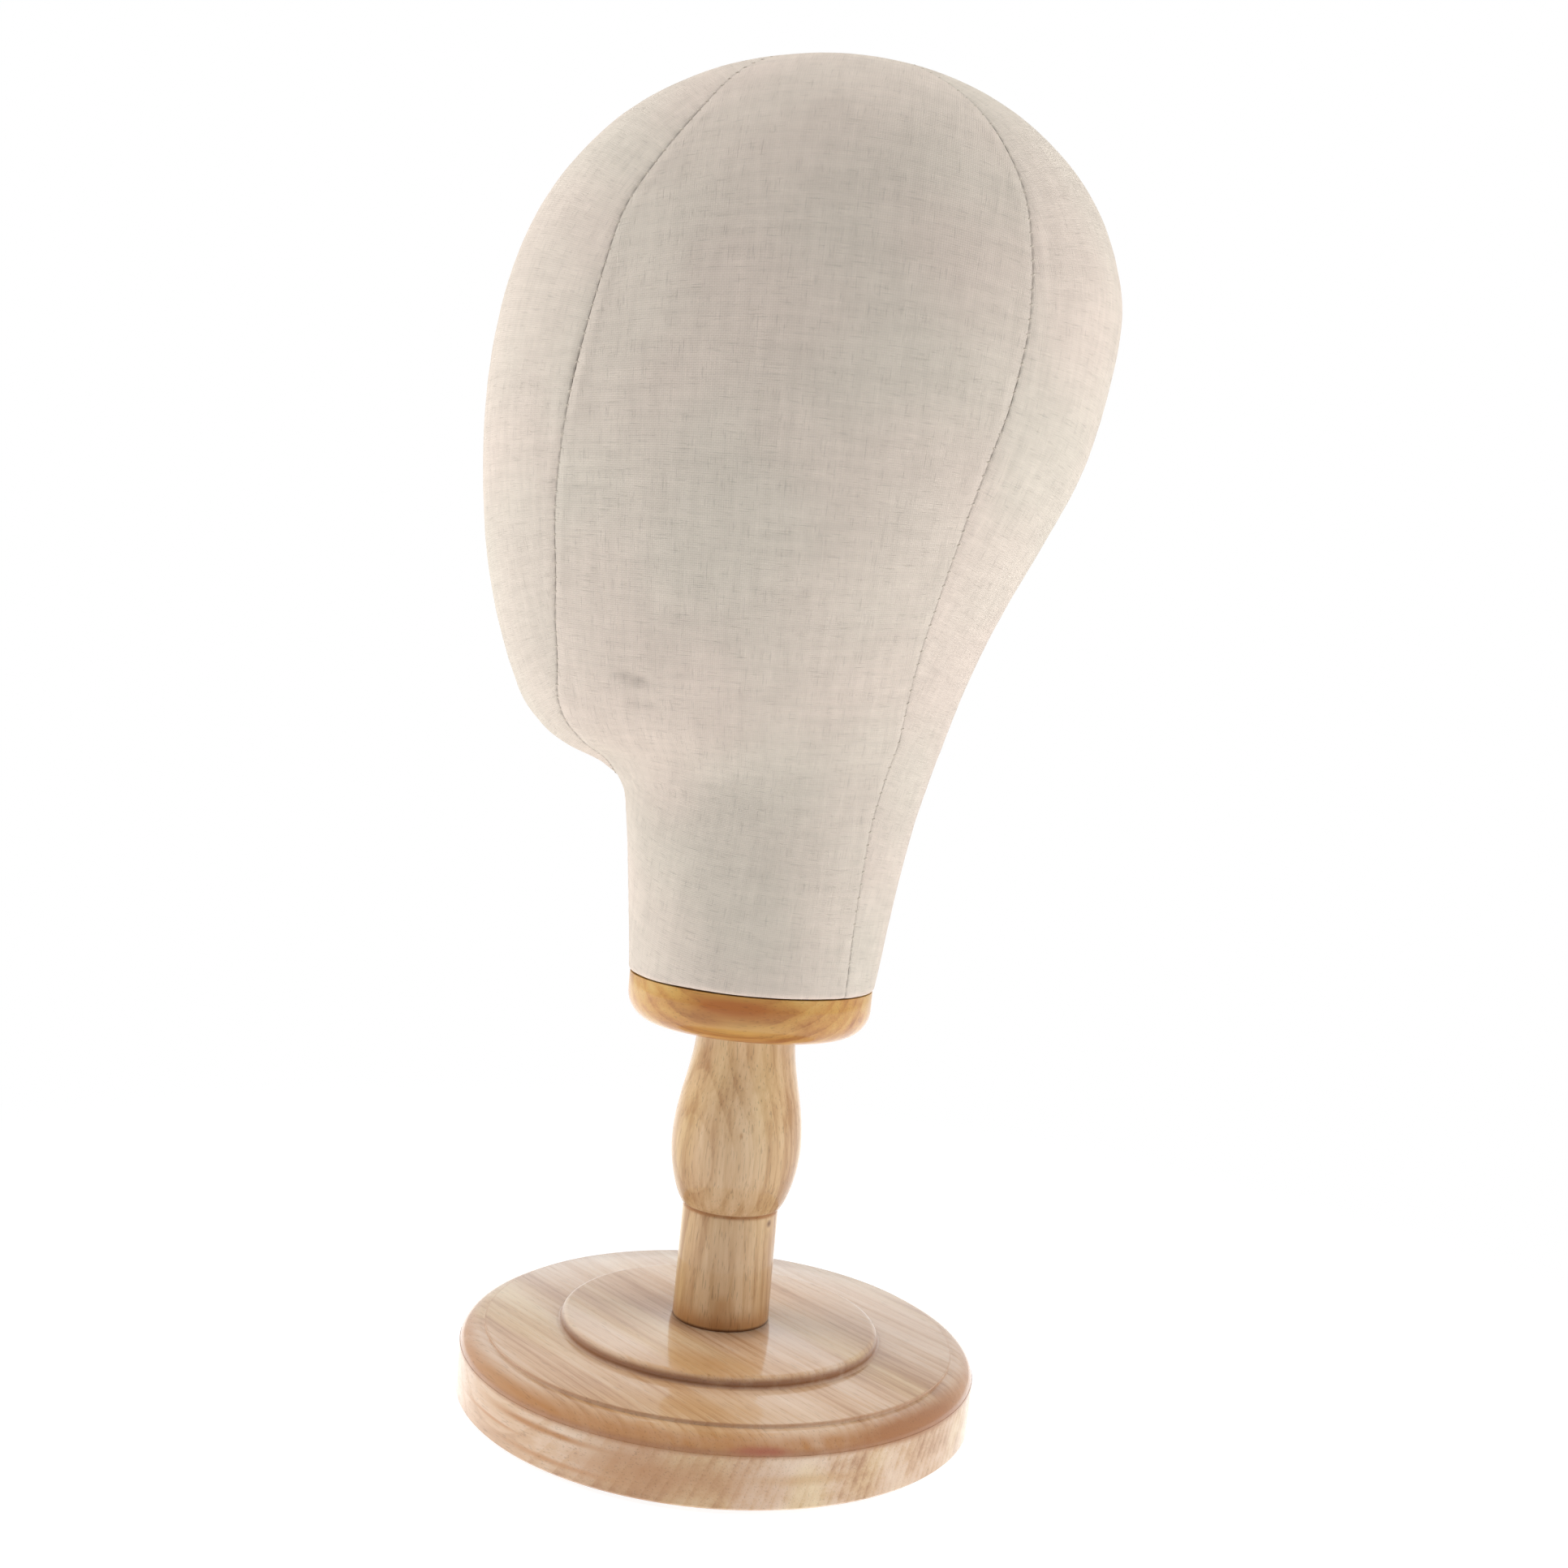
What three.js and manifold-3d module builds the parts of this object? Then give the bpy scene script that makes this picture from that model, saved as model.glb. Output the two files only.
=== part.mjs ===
// Canvas block head on a turned wooden stand.
// Millimetres, +Z up. The face looks towards -Y. The origin is the centre of the felt's underside.
import * as THREE from 'three';
import { mergeVertices } from 'three/addons/utils/BufferGeometryUtils.js';
import Module from 'manifold-3d';

const wasm = await Module();
wasm.setup();

// Clearances
const slip = 0.3; // round a piece that stands in a bore
const seamGap = 0.3; // between two panels of the cover
const coverGap = 0.3; // between the cover and the block inside it

// Base: a disc with a quarter-round rim and a raised step, on felt
const feltThickness = 1;
const feltInset = 4;
const baseRadius = 82;
const baseSideHeight = 12.3;
const baseEdgeBevel = 0.8;
const rimLedge = 0.9;
const rimRoundWidth = 6.4;
const rimRoundHeight = 7.7;
const rimQuirk = 1.15;
const stepRadius = 51.1;
const stepHeight = 3.45;
const stepEdgeRadius = 2.4;
const stepCove = 0.9;

// Stem: a tenon, a straight foot, a crease, then a bulb that narrows to the shoulder
const tenonShoulder = 6.5; // how far the foot stands out round the tenon
const tenonFloor = 6.3; // wood left between the tenon's socket and the recess under the base
const stemFootRadius = 15.5;
const stemFootLength = 36;
const stemFootTaper = 0.2;
const creaseDepth = 0.5;
const creaseHeight = 0.8;
const bulbRadius = 20.8;
const bulbLength = 57.45;
// radius and height, as shares of the bulb's radius and length
const bulbOutline = [[0.764, 0], [0.851, 0.06], [0.933, 0.155], [0.986, 0.26], [1, 0.355],
  [0.981, 0.468], [0.928, 0.59], [0.865, 0.695], [0.808, 0.8], [0.774, 0.895], [0.764, 1]];

// Peg: a loose dowel that stands in the stem and carries the head
const pegRadius = 6;
const pegInStem = 45;
const pegInHead = 55;
const pegChamfer = 1;
const pegHeadRoom = 2; // left over the peg in its bore

// Neck plate and the block behind it
const neckRadius = 39;
const plateHeight = 15;
const plateRounding = 9.1;
const plateTopBevel = 0.4;
const plateEdge = 1; // straight side left over the rounding at the least
const blockWall = 10.2; // core left round the block inside the neck
const blockCap = 18; // wood over the peg's bore
const blockChamfer = 2;

// Screws
const plateScrewCount = 3;
const plateScrewInset = 5.5; // from the block's side to the screw's axis
const plateScrewBite = 17; // into the block
const plateScrewRadius = 2;
const plateScrewHeadRadius = 3.8;
const plateScrewHeadHeight = 2.4;
const stemScrewClear = 21.4; // wood left between the screw's point and the peg's bore
const stemScrewRadius = 2.5;
const stemScrewHeadRadius = 5;
const stemScrewHeadHeight = 3.4;
const stemScrewFaceRadius = 3;
const stemScrewRimHeight = 1.7;
const pointLength = 4;
const crossWidth = 1.1;
const crossSpan = 4.4;
const crossDepth = 1.3;
const washerRadius = 9;
const washerThickness = 1.2;
const recessRoom = 1.4; // left under the screw's head

// Cover
const canvasThickness = 1.2;

// Head
const headLength = 196.9; // from the face to the back
const headWidth = 155;
const headHeight = 288.3; // from the neck's rim to the crown
const crownY = 5; // how far the crown lies behind the stem's axis

// Stations from the neck's rim up to the widest level. Each is a tilted oval that runs from a front
// point to a back point, given as y and height, and full is how much wider the oval is behind its
// middle than in front of it. Heights are shares of the head's height. The other numbers are shares
// of the neck's radius in the first table, and of the head's length and width in the second.
const neckStations = [
  { front: [-1, 0], back: [1, 0], half: 1, full: 0 },
  { front: [-1.064, 0.083], back: [1.082, 0.083], half: 1.02, full: 0 },
  { front: [-1.133, 0.16], back: [1.2, 0.18], half: 1.077, full: 0 },
  { front: [-1.195, 0.203], back: [1.308, 0.243], half: 1.141, full: 0.01 },
];
const headStations = [
  { front: [-0.272, 0.2255], back: [0.275, 0.283], half: 0.313, full: 0.02 },
  { front: [-0.333, 0.242], back: [0.2935, 0.3295], half: 0.342, full: 0.04 },
  { front: [-0.378, 0.263], back: [0.319, 0.38], half: 0.371, full: 0.06 },
  { front: [-0.419, 0.301], back: [0.353, 0.435], half: 0.403, full: 0.08 },
  { front: [-0.466, 0.385], back: [0.404, 0.51], half: 0.445, full: 0.1 },
  { front: [-0.496, 0.479], back: [0.46, 0.6035], half: 0.481, full: 0.1 },
  { front: [-0.509, 0.6035], back: [0.491, 0.732], half: 0.5, full: 0.1 },
];
// The crown closes the head above the widest level with rounded quarter arcs.
const frontPower = 0.87;
const backPower = 0.98;
const sidePower = 0.92;
const crownStations = 6;

// Seam stations from the throat over the face and the crown to the back of the rim: the height of
// a point on the head's axis as a share of the head's height, the direction in degrees that the
// seam is seen from there (0 forwards, 90 up, 180 backwards), and the half width of the centre
// strip as a share of the head's width.
const seamStations = [
  [0.243, -10.6, 0.013], [0.2475, -7, 0.1], [0.256, -2.5, 0.158], [0.274, 0, 0.19],
  [0.319, 0, 0.24], [0.37, 0, 0.2716], [0.437, 0, 0.3034], [0.548, 4, 0.342], [0.6035, 16, 0.3663],
  [0.6245, 34, 0.3655], [0.628, 64, 0.3265], [0.628, 90, 0.13], [0.628, 109, 0.274],
  [0.628, 125, 0.356], [0.6245, 141, 0.3995], [0.6155, 151, 0.411], [0.6035, 160, 0.407],
  [0.57, 169, 0.398], [0.534, 176, 0.391], [0.4, 180, 0.313], [0.2775, 180, 0.229],
  [0.17, 180, 0.201], [0.066, 180, 0.1785], [-0.035, 180, 0.162],
];
const seamStart = 5; // clear of the axis

// How finely the round shapes are faceted
const turnedSides = 40;
const smallSides = 20;
const headColumns = 32;
const rowsPerStation = 2;
const seamRowsPerStation = 2;
const arcSteps = 4;

// How the solids are made
const mergeDistance = 1e-5; // corners this close are one corner
const through = 1; // how far a cutter runs past the face that it cuts

// Levels, from the floor up
const baseBottom = feltThickness;
const recessTop = baseBottom + recessRoom + stemScrewHeadHeight + washerThickness;
const baseRingZ = baseBottom + baseSideHeight + rimRoundHeight + rimQuirk;
const stepZ = baseRingZ + stepHeight;
const tenonBottom = recessTop + tenonFloor + slip;
const creaseZ = stepZ + stemFootLength;
const bulbZ = creaseZ + creaseHeight;
const shoulderZ = bulbZ + bulbLength;
const rimZ = shoulderZ + plateHeight;
const pegBottom = shoulderZ - pegInStem;
const pegTop = shoulderZ + pegInHead;
const blockTop = pegTop + pegHeadRoom + blockCap;
const plateScrewTip = rimZ + plateScrewBite;
const stemScrewTip = pegBottom - stemScrewClear;

// Widths that follow from others
const tenonRadius = stemFootRadius - tenonShoulder;
const boreRadius = pegRadius + slip;
const coreDepth = canvasThickness + coverGap;
const blockRadius = neckRadius - coreDepth - blockWall - slip;
const plateScrewCircle = blockRadius - plateScrewInset;
const seamReach = headHeight; // past the head's skin in every direction

const paint = (color, roughness, metalness = 0) =>
  new THREE.MeshStandardMaterial({ color, roughness, metalness });
const palewood = paint(0xd6b497, 0.35);
const stemwood = paint(0xc9a578, 0.45);
const goldwood = paint(0xc98f52, 0.4);
const birch = paint(0xdcc6a0, 0.7);
const canvas = paint(0xd0c6ba, 0.95);
const cork = paint(0x9c7650, 0.95);
const steel = paint(0xb8babd, 0.35, 1);
const felt = paint(0x4d4a46, 1);

const radians = THREE.MathUtils.degToRad;

// A closed geometry becomes a solid once the corners that it shares are merged.
function solid(geometry) {
  geometry.deleteAttribute('normal');
  geometry.deleteAttribute('uv');
  const merged = mergeVertices(geometry, mergeDistance);
  return new wasm.Manifold(new wasm.Mesh({
    numProp: 3,
    vertProperties: new Float32Array(merged.attributes.position.array),
    triVerts: new Uint32Array(merged.index.array),
  }));
}

function geometryOf(body) {
  const { numProp, vertProperties, triVerts } = body.getMesh();
  const position = new Float32Array((vertProperties.length / numProp) * 3);
  for (let i = 0; i < position.length / 3; i += 1) {
    position.set(vertProperties.subarray(i * numProp, i * numProp + 3), i * 3);
  }
  const geometry = new THREE.BufferGeometry();
  geometry.setAttribute('position', new THREE.BufferAttribute(position, 3));
  geometry.setIndex(new THREE.BufferAttribute(new Uint32Array(triVerts), 1));
  geometry.computeVertexNormals();
  return geometry;
}

function closedBody(points, index) {
  const geometry = new THREE.BufferGeometry().setFromPoints(points);
  geometry.setIndex(index);
  return solid(geometry);
}

// A turned piece: the profile is radius and height, from the axis at the bottom to the axis on top.
function turned(profile, sides = turnedSides) {
  const points = profile.map(([radius, height]) => new THREE.Vector2(radius, height));
  const geometry = new THREE.LatheGeometry(points, sides);
  geometry.rotateX(Math.PI / 2);
  return solid(geometry);
}

// An arc in the profile, from one angle to another in degrees.
function arc(radius, height, width, rise, from, to) {
  return Array.from({ length: arcSteps + 1 }, (_, i) => {
    const angle = radians(from + ((to - from) * i) / arcSteps);
    return [radius + width * Math.cos(angle), height + rise * Math.sin(angle)];
  });
}

function rod(radius, bottom, top, sides = smallSides) {
  return turned([[0, bottom], [radius, bottom], [radius, top], [0, top]], sides);
}

function box(width, depth, height, x, y, z) {
  const geometry = new THREE.BoxGeometry(width, depth, height);
  geometry.translate(x, y, z);
  return solid(geometry);
}

// The cross in a screw's head. The box is centred on the head's face, so half of it cuts.
function crossRecess(x, y, z) {
  const height = crossDepth * 2;
  const along = box(crossSpan, crossWidth, height, x, y, z);
  const across = box(crossWidth, crossSpan, height, x, y, z);
  return along.add(across);
}

// Stand
function feltDisc() {
  return rod(baseRadius - feltInset, 0, feltThickness, turnedSides);
}

function baseDisc() {
  const sideTop = baseBottom + baseSideHeight;
  const roundRadius = baseRadius - rimLedge - rimRoundWidth;
  const disc = turned([
    [0, baseBottom],
    [baseRadius - baseEdgeBevel, baseBottom],
    [baseRadius, baseBottom + baseEdgeBevel],
    [baseRadius, sideTop],
    ...arc(roundRadius, sideTop, rimRoundWidth, rimRoundHeight, 0, 90),
    [roundRadius, baseRingZ],
    ...arc(stepRadius + stepCove, baseRingZ + stepCove, stepCove, stepCove, 270, 180),
    ...arc(stepRadius - stepEdgeRadius, stepZ - stepEdgeRadius, stepEdgeRadius, stepEdgeRadius, 0, 90),
    [0, stepZ],
  ]);
  return disc
    .subtract(rod(tenonRadius + slip, tenonBottom - slip, stepZ + through, turnedSides))
    .subtract(rod(washerRadius + slip, baseBottom - through, recessTop))
    .subtract(rod(stemScrewRadius + slip, baseBottom - through, stepZ));
}

function stem() {
  const footTop = stemFootRadius - stemFootTaper;
  const body = turned([
    [0, tenonBottom],
    [tenonRadius, tenonBottom],
    [tenonRadius, stepZ],
    [stemFootRadius, stepZ],
    [footTop, creaseZ],
    [footTop - creaseDepth, creaseZ + creaseHeight / 2],
    ...bulbOutline.map(([width, height]) => [width * bulbRadius, bulbZ + height * bulbLength]),
    [0, shoulderZ],
  ]);
  return body
    .subtract(rod(boreRadius, pegBottom, shoulderZ + through))
    .subtract(rod(stemScrewRadius + slip, tenonBottom - through, stemScrewTip + slip));
}

function washer() {
  const bottom = recessTop - washerThickness;
  return rod(washerRadius, bottom, recessTop)
    .subtract(rod(stemScrewRadius + slip, bottom - through, recessTop + through));
}

// A domed screw under the washer, pointing up.
function baseScrew() {
  const seat = recessTop - washerThickness;
  const head = seat - stemScrewHeadHeight;
  return turned([
    [0, head],
    [stemScrewFaceRadius, head],
    [stemScrewHeadRadius, seat - stemScrewRimHeight],
    [stemScrewHeadRadius, seat],
    [stemScrewRadius, seat],
    [stemScrewRadius, stemScrewTip - pointLength],
    [0, stemScrewTip],
  ], smallSides).subtract(crossRecess(0, 0, head));
}

function peg() {
  return turned([
    [0, pegBottom],
    [pegRadius - pegChamfer, pegBottom],
    [pegRadius, pegBottom + pegChamfer],
    [pegRadius, pegTop - pegChamfer],
    [pegRadius - pegChamfer, pegTop],
    [0, pegTop],
  ], smallSides);
}

// Head fittings
const plateScrewPlaces = Array.from({ length: plateScrewCount }, (_, i) => {
  const angle = radians(90 + (360 * i) / plateScrewCount);
  return [plateScrewCircle * Math.cos(angle), plateScrewCircle * Math.sin(angle)];
});

// A countersunk screw that points up from the plate's underside, or with a clearance its hole.
function countersunk([x, y], clearance = 0) {
  const shank = plateScrewRadius + clearance;
  const tip = plateScrewTip + clearance;
  return turned([
    [0, shoulderZ],
    [plateScrewHeadRadius + clearance, shoulderZ],
    [shank, shoulderZ + plateScrewHeadHeight],
    [shank, tip - pointLength],
    [0, tip],
  ], smallSides).translate([x, y, 0]);
}

function plateScrewAt([x, y]) {
  return countersunk([x, y]).subtract(crossRecess(x, y, shoulderZ));
}

function drilledForScrews(body) {
  return plateScrewPlaces.reduce((rest, spot) => rest.subtract(countersunk(spot, slip)), body);
}

function neckPlate() {
  const rounding = Math.min(plateRounding, plateHeight - plateTopBevel - plateEdge);
  const plate = turned([
    [0, shoulderZ],
    ...arc(neckRadius - rounding, shoulderZ + rounding, rounding, rounding, -90, 0),
    [neckRadius, rimZ - plateTopBevel],
    [neckRadius - plateTopBevel, rimZ],
    [0, rimZ],
  ]);
  return drilledForScrews(plate.subtract(rod(boreRadius, shoulderZ - through, rimZ + through)));
}

function neckBlock() {
  const block = turned([
    [0, rimZ],
    [blockRadius, rimZ],
    [blockRadius, blockTop - blockChamfer],
    [blockRadius - blockChamfer, blockTop],
    [0, blockTop],
  ]);
  return drilledForScrews(block.subtract(rod(boreRadius, rimZ - through, pegTop + pegHeadRoom)));
}

// A station in real sizes, its heights above the rim.
function sized({ front, back, half, full }, along, across) {
  return {
    front: [front[0] * along, front[1] * headHeight],
    back: [back[0] * along, back[1] * headHeight],
    half: half * across,
    full,
  };
}

// The front and back points of the head's ovals as curves: x is y, y is the height above the rim,
// and z carries the oval's half width on the front curve and its fullness on the back one.
function loftCurves() {
  const stations = [
    ...neckStations.map((station) => sized(station, neckRadius, neckRadius)),
    ...headStations.map((station) => sized(station, headLength, headWidth)),
  ];
  const widest = stations[stations.length - 1];
  const crown = Array.from({ length: crownStations }, (_, i) => {
    const angle = radians((90 * (i + 1)) / crownStations);
    const cos = Math.cos(angle);
    const sin = Math.sin(angle);
    const close = ([y, z], power) => [
      crownY + (y - crownY) * cos ** power,
      z + (headHeight - z) * sin ** power,
    ];
    return {
      front: close(widest.front, frontPower),
      back: close(widest.back, backPower),
      half: widest.half * cos ** sidePower,
      full: widest.full,
    };
  });
  const all = [...stations, ...crown];
  const curve = (points) => new THREE.CatmullRomCurve3(points, false, 'catmullrom');
  return {
    spans: all.length - 1,
    fronts: curve(all.map((oval) => new THREE.Vector3(...oval.front, oval.half))),
    backs: curve(all.map((oval) => new THREE.Vector3(...oval.back, oval.full))),
  };
}

// The head's skin as rows of points from the rim up, without the crown's single point.
function skinRows() {
  const { spans, fronts, backs } = loftCurves();
  const count = spans * rowsPerStation;
  return Array.from({ length: count }, (_, row) => {
    const front = fronts.getPoint(row / count);
    const back = backs.getPoint(row / count);
    return Array.from({ length: headColumns }, (__, column) => {
      const angle = (2 * Math.PI * column) / headColumns;
      const along = Math.sin(angle);
      return new THREE.Vector3(
        front.z * Math.cos(angle) * (1 + back.z * along),
        (front.x + back.x) / 2 + ((back.x - front.x) / 2) * along,
        rimZ + (front.y + back.y) / 2 + ((back.y - front.y) / 2) * along,
      );
    });
  });
}

// The closed head form, taken in from the skin by a depth and lengthened down by a drop.
function headForm(depth, drop = 0) {
  const rows = skinRows();
  const crown = new THREE.Vector3(0, crownY, rimZ + headHeight);
  const at = (row, column) => {
    if (row >= rows.length) return crown;
    return rows[Math.max(row, 0)][(column + headColumns) % headColumns];
  };
  const inner = rows.map((points, row) => points.map((point, column) => {
    const around = at(row, column + 1).clone().sub(at(row, column - 1));
    const upwards = at(row + 1, column).clone().sub(at(row - 1, column));
    const outward = around.cross(upwards).normalize();
    if (row === 0) outward.setZ(0).normalize();
    return point.clone().addScaledVector(outward, -depth);
  }));
  if (drop > 0) inner.unshift(inner[0].map((point) => point.clone().setZ(rimZ - drop)));
  const bottom = new THREE.Vector3(0, 0, rimZ - drop);
  const top = crown.clone().setZ(crown.z - depth);
  const points = [...inner.flat(), bottom, top];
  const bottomIndex = points.length - 2;
  const topIndex = points.length - 1;
  const lastRow = (inner.length - 1) * headColumns;
  const index = [];
  for (let column = 0; column < headColumns; column += 1) {
    const next = (column + 1) % headColumns;
    index.push(bottomIndex, next, column, topIndex, lastRow + column, lastRow + next);
    for (let row = 0; row < inner.length - 1; row += 1) {
      const a = row * headColumns + column;
      const b = row * headColumns + next;
      index.push(a, b, b + headColumns, a, b + headColumns, a + headColumns);
    }
  }
  return closedBody(points, index);
}

// The space that the centre strip lies in: a bar that follows the seams, wider or narrower by a
// clearance, from the head's axis out past its skin.
function stripSpace(clearance) {
  const curve = new THREE.CatmullRomCurve3(
    seamStations.map(([height, direction, half]) =>
      new THREE.Vector3(height * headHeight, direction, half * headWidth)),
    false,
    'catmullrom',
  );
  const count = (seamStations.length - 1) * seamRowsPerStation;
  const points = [];
  const index = [];
  for (let i = 0; i <= count; i += 1) {
    const { x: height, y: direction, z: half } = curve.getPoint(i / count);
    const y = -Math.cos(radians(direction));
    const z = Math.sin(radians(direction));
    const width = half + clearance;
    const axisZ = rimZ + height - (i === 0 ? clearance : 0);
    for (const [side, reach] of [[-1, seamStart], [1, seamStart], [1, seamReach], [-1, seamReach]]) {
      points.push(new THREE.Vector3(side * width, y * reach, axisZ + z * reach));
    }
    const ring = i * 4;
    for (let corner = 0; corner < 4 && i < count; corner += 1) {
      const a = ring + corner;
      const b = ring + ((corner + 1) % 4);
      index.push(a, b + 4, b, a, a + 4, b + 4);
    }
  }
  const last = count * 4;
  index.push(0, 1, 2, 0, 2, 3, last, last + 2, last + 1, last, last + 3, last + 2);
  return closedBody(points, index);
}

function sidePanel(cover, side) {
  const span = 2 * seamReach;
  const half = box(span, 2 * span, 2 * span, side * (span / 2 + seamGap / 2), 0, rimZ + span / 2);
  return cover.subtract(stripSpace(seamGap / 2)).intersect(half);
}

function headCore() {
  const socket = rod(blockRadius + slip, rimZ - through, blockTop + slip, turnedSides);
  return headForm(coreDepth).subtract(socket);
}

const part = new THREE.Group();

function place(name, body, material, parent) {
  const mesh = new THREE.Mesh(geometryOf(body), material);
  mesh.name = name;
  parent.add(mesh);
}

const stand = new THREE.Group();
part.add(stand);
place('base_felt', feltDisc(), felt, stand);
place('base_disc', baseDisc(), palewood, stand);
place('stem', stem(), stemwood, stand);
place('screw_washer', washer(), steel, stand);
place('stem_screw', baseScrew(), steel, stand);

place('peg', peg(), birch, part);

const head = new THREE.Group();
part.add(head);
place('neck_plate', neckPlate(), goldwood, head);
place('neck_block', neckBlock(), birch, head);
plateScrewPlaces.forEach((spot, i) => place(`plate_screw_${i + 1}`, plateScrewAt(spot), steel, head));
place('head_core', headCore(), cork, head);

const cover = headForm(0).subtract(headForm(canvasThickness, through));
place('canvas_centre', cover.intersect(stripSpace(-seamGap / 2)), canvas, head);
place('canvas_left', sidePanel(cover, 1), canvas, head);
place('canvas_right', sidePanel(cover, -1), canvas, head);

export default part;
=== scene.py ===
import math

import bpy
import numpy as np
from mathutils import Matrix, Vector
from mathutils.bvhtree import BVHTree
from mathutils.kdtree import KDTree


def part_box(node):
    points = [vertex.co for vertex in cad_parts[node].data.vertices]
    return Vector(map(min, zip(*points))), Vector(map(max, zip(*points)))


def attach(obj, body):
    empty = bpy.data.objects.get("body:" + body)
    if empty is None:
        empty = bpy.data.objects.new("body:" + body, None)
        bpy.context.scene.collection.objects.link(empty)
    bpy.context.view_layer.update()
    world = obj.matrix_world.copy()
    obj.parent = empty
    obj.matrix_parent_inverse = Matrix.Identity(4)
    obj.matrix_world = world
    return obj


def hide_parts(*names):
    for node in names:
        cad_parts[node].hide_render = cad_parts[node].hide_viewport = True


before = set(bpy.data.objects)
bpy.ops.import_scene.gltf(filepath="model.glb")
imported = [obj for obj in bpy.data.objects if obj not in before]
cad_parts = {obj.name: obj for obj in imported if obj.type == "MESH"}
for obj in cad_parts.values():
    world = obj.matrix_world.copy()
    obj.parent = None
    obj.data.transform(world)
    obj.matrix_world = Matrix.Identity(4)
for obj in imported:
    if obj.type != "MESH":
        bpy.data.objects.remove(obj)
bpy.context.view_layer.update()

MM = 0.001

# Places and sizes that the frame gives
felt_low, felt_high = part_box("base_felt")
base_low, base_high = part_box("base_disc")
stem_low, stem_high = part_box("stem")
peg_low, peg_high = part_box("peg")
plate_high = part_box("neck_plate")[1]
centre_low, centre_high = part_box("canvas_centre")
screw_low, screw_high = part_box("plate_screw_1")
washer_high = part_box("screw_washer")[1]
STEP_Z = base_high.z
SHOULDER_Z = stem_high.z
RIM_Z = plate_high.z
NECK_RADIUS = plate_high.x
PEG_RADIUS = peg_high.x
HEAD_LENGTH = centre_high.y - centre_low.y
HEAD_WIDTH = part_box("canvas_left")[1].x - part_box("canvas_right")[0].x
HEAD_HEIGHT = centre_high.z - RIM_Z

# Base
SIDE_HEIGHT = 15.3 * MM
RIM_LEDGE = 0.2 * MM
ROUND_WIDTH = 7.1 * MM
ROUND_HEIGHT = 4.7 * MM
RIM_QUIRK = 1.15 * MM
STEP_RADIUS = 51.1 * MM
STEP_ROUNDING = 2.4 * MM
STEP_COVE = 0.9 * MM
BASE_CHAMFER = 0.8 * MM
# Less than half of the ledge, so that the two softened corners at its ends don't meet
BASE_SOFTENING = 0.09 * MM
FELT_SOFTENING = 0.3 * MM
SLIP = 0.3 * MM

# Stem
FOOT_RADIUS = 15.5 * MM
FOOT_LENGTH = 36 * MM
TENON_RADIUS = 9 * MM
CREASE_HEIGHT = 0.8 * MM
# radius, and height above the top of the foot, in millimetres
CREASE = [(15.3, -0.7), (15.18, -0.3), (14.8, 0.2), (14.7, 0.45), (15.05, 0.65)]
BULB_RADIUS = 20.8 * MM
STEM_BORE_DEPTH = 45 * MM
SCREW_BORE_RADIUS = 2.8 * MM
SCREW_BORE_TOP = 53.75 * MM
# radius and height, as shares of the bulb's radius and length
BULB = [(0.764, 0), (0.851, 0.06), (0.933, 0.155), (0.986, 0.26), (1, 0.355), (0.981, 0.468),
        (0.928, 0.59), (0.865, 0.695), (0.808, 0.8), (0.774, 0.895), (0.764, 1)]

# Neck plate and its screws
BORE_RADIUS = PEG_RADIUS + SLIP
PEG_CHAMFER = 1 * MM
PLATE_ROUNDING = 9.1 * MM
SCREW_COUNT = 3
SCREW_RADIUS = 2 * MM
SCREW_HEAD_RADIUS = 3.8 * MM
SCREW_HEAD_HEIGHT = 2.4 * MM

# Head. Each station is a tilted oval: its front and back points as (y, height), its half width,
# and how much wider it is behind its middle. Heights are shares of the head's height. The other
# numbers are shares of the neck's radius in the first table, and of the head's length and width
# in the second.
CROWN_Y = 5 * MM
NECK_STATIONS = [
    ((-1, 0), (1, 0), 1, 0),
    ((-1.064, 0.083), (1.082, 0.083), 1.02, 0),
    ((-1.133, 0.16), (1.2, 0.18), 1.077, 0),
    ((-1.195, 0.203), (1.308, 0.243), 1.141, 0.01),
]
HEAD_STATIONS = [
    ((-0.272, 0.2255), (0.275, 0.283), 0.313, 0.02),
    ((-0.333, 0.242), (0.2935, 0.3295), 0.342, 0.04),
    ((-0.378, 0.263), (0.319, 0.38), 0.371, 0.06),
    ((-0.419, 0.301), (0.353, 0.435), 0.403, 0.08),
    ((-0.466, 0.385), (0.404, 0.51), 0.445, 0.1),
    ((-0.496, 0.479), (0.46, 0.6035), 0.481, 0.1),
    ((-0.509, 0.6035), (0.491, 0.732), 0.5, 0.1),
]
CROWN_STATIONS = 6
FRONT_POWER = 0.87
BACK_POWER = 0.98
SIDE_POWER = 0.92

# Seams from the throat over the face and the crown to the back of the rim: the height on the
# head's axis, the direction in degrees that the seam is seen from there (0 forwards, 90 up, 180
# backwards), and the half width of the centre strip. Heights and widths are shares of the head's.
SEAM_STATIONS = [
    (0.243, -10.6, 0.013), (0.2475, -7, 0.1), (0.256, -2.5, 0.158), (0.274, 0, 0.19),
    (0.319, 0, 0.24), (0.37, 0, 0.2716), (0.437, 0, 0.3034), (0.548, 4, 0.342),
    (0.6035, 16, 0.3663), (0.6245, 34, 0.3655), (0.628, 64, 0.3265), (0.628, 90, 0.13),
    (0.628, 109, 0.2743), (0.628, 125, 0.3565), (0.6245, 141, 0.399), (0.6155, 151, 0.411),
    (0.6035, 160, 0.4067), (0.57, 169, 0.399), (0.534, 175, 0.3918), (0.47, 178.5, 0.3574),
    (0.4, 180, 0.3115), (0.2775, 180, 0.231), (0.17, 180, 0.2), (0.066, 180, 0.1785),
    (0, 180, 0.168),
]
PANEL_FRONT_CORNER = 10.7
PANEL_BACK_CORNER = 11.3

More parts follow.
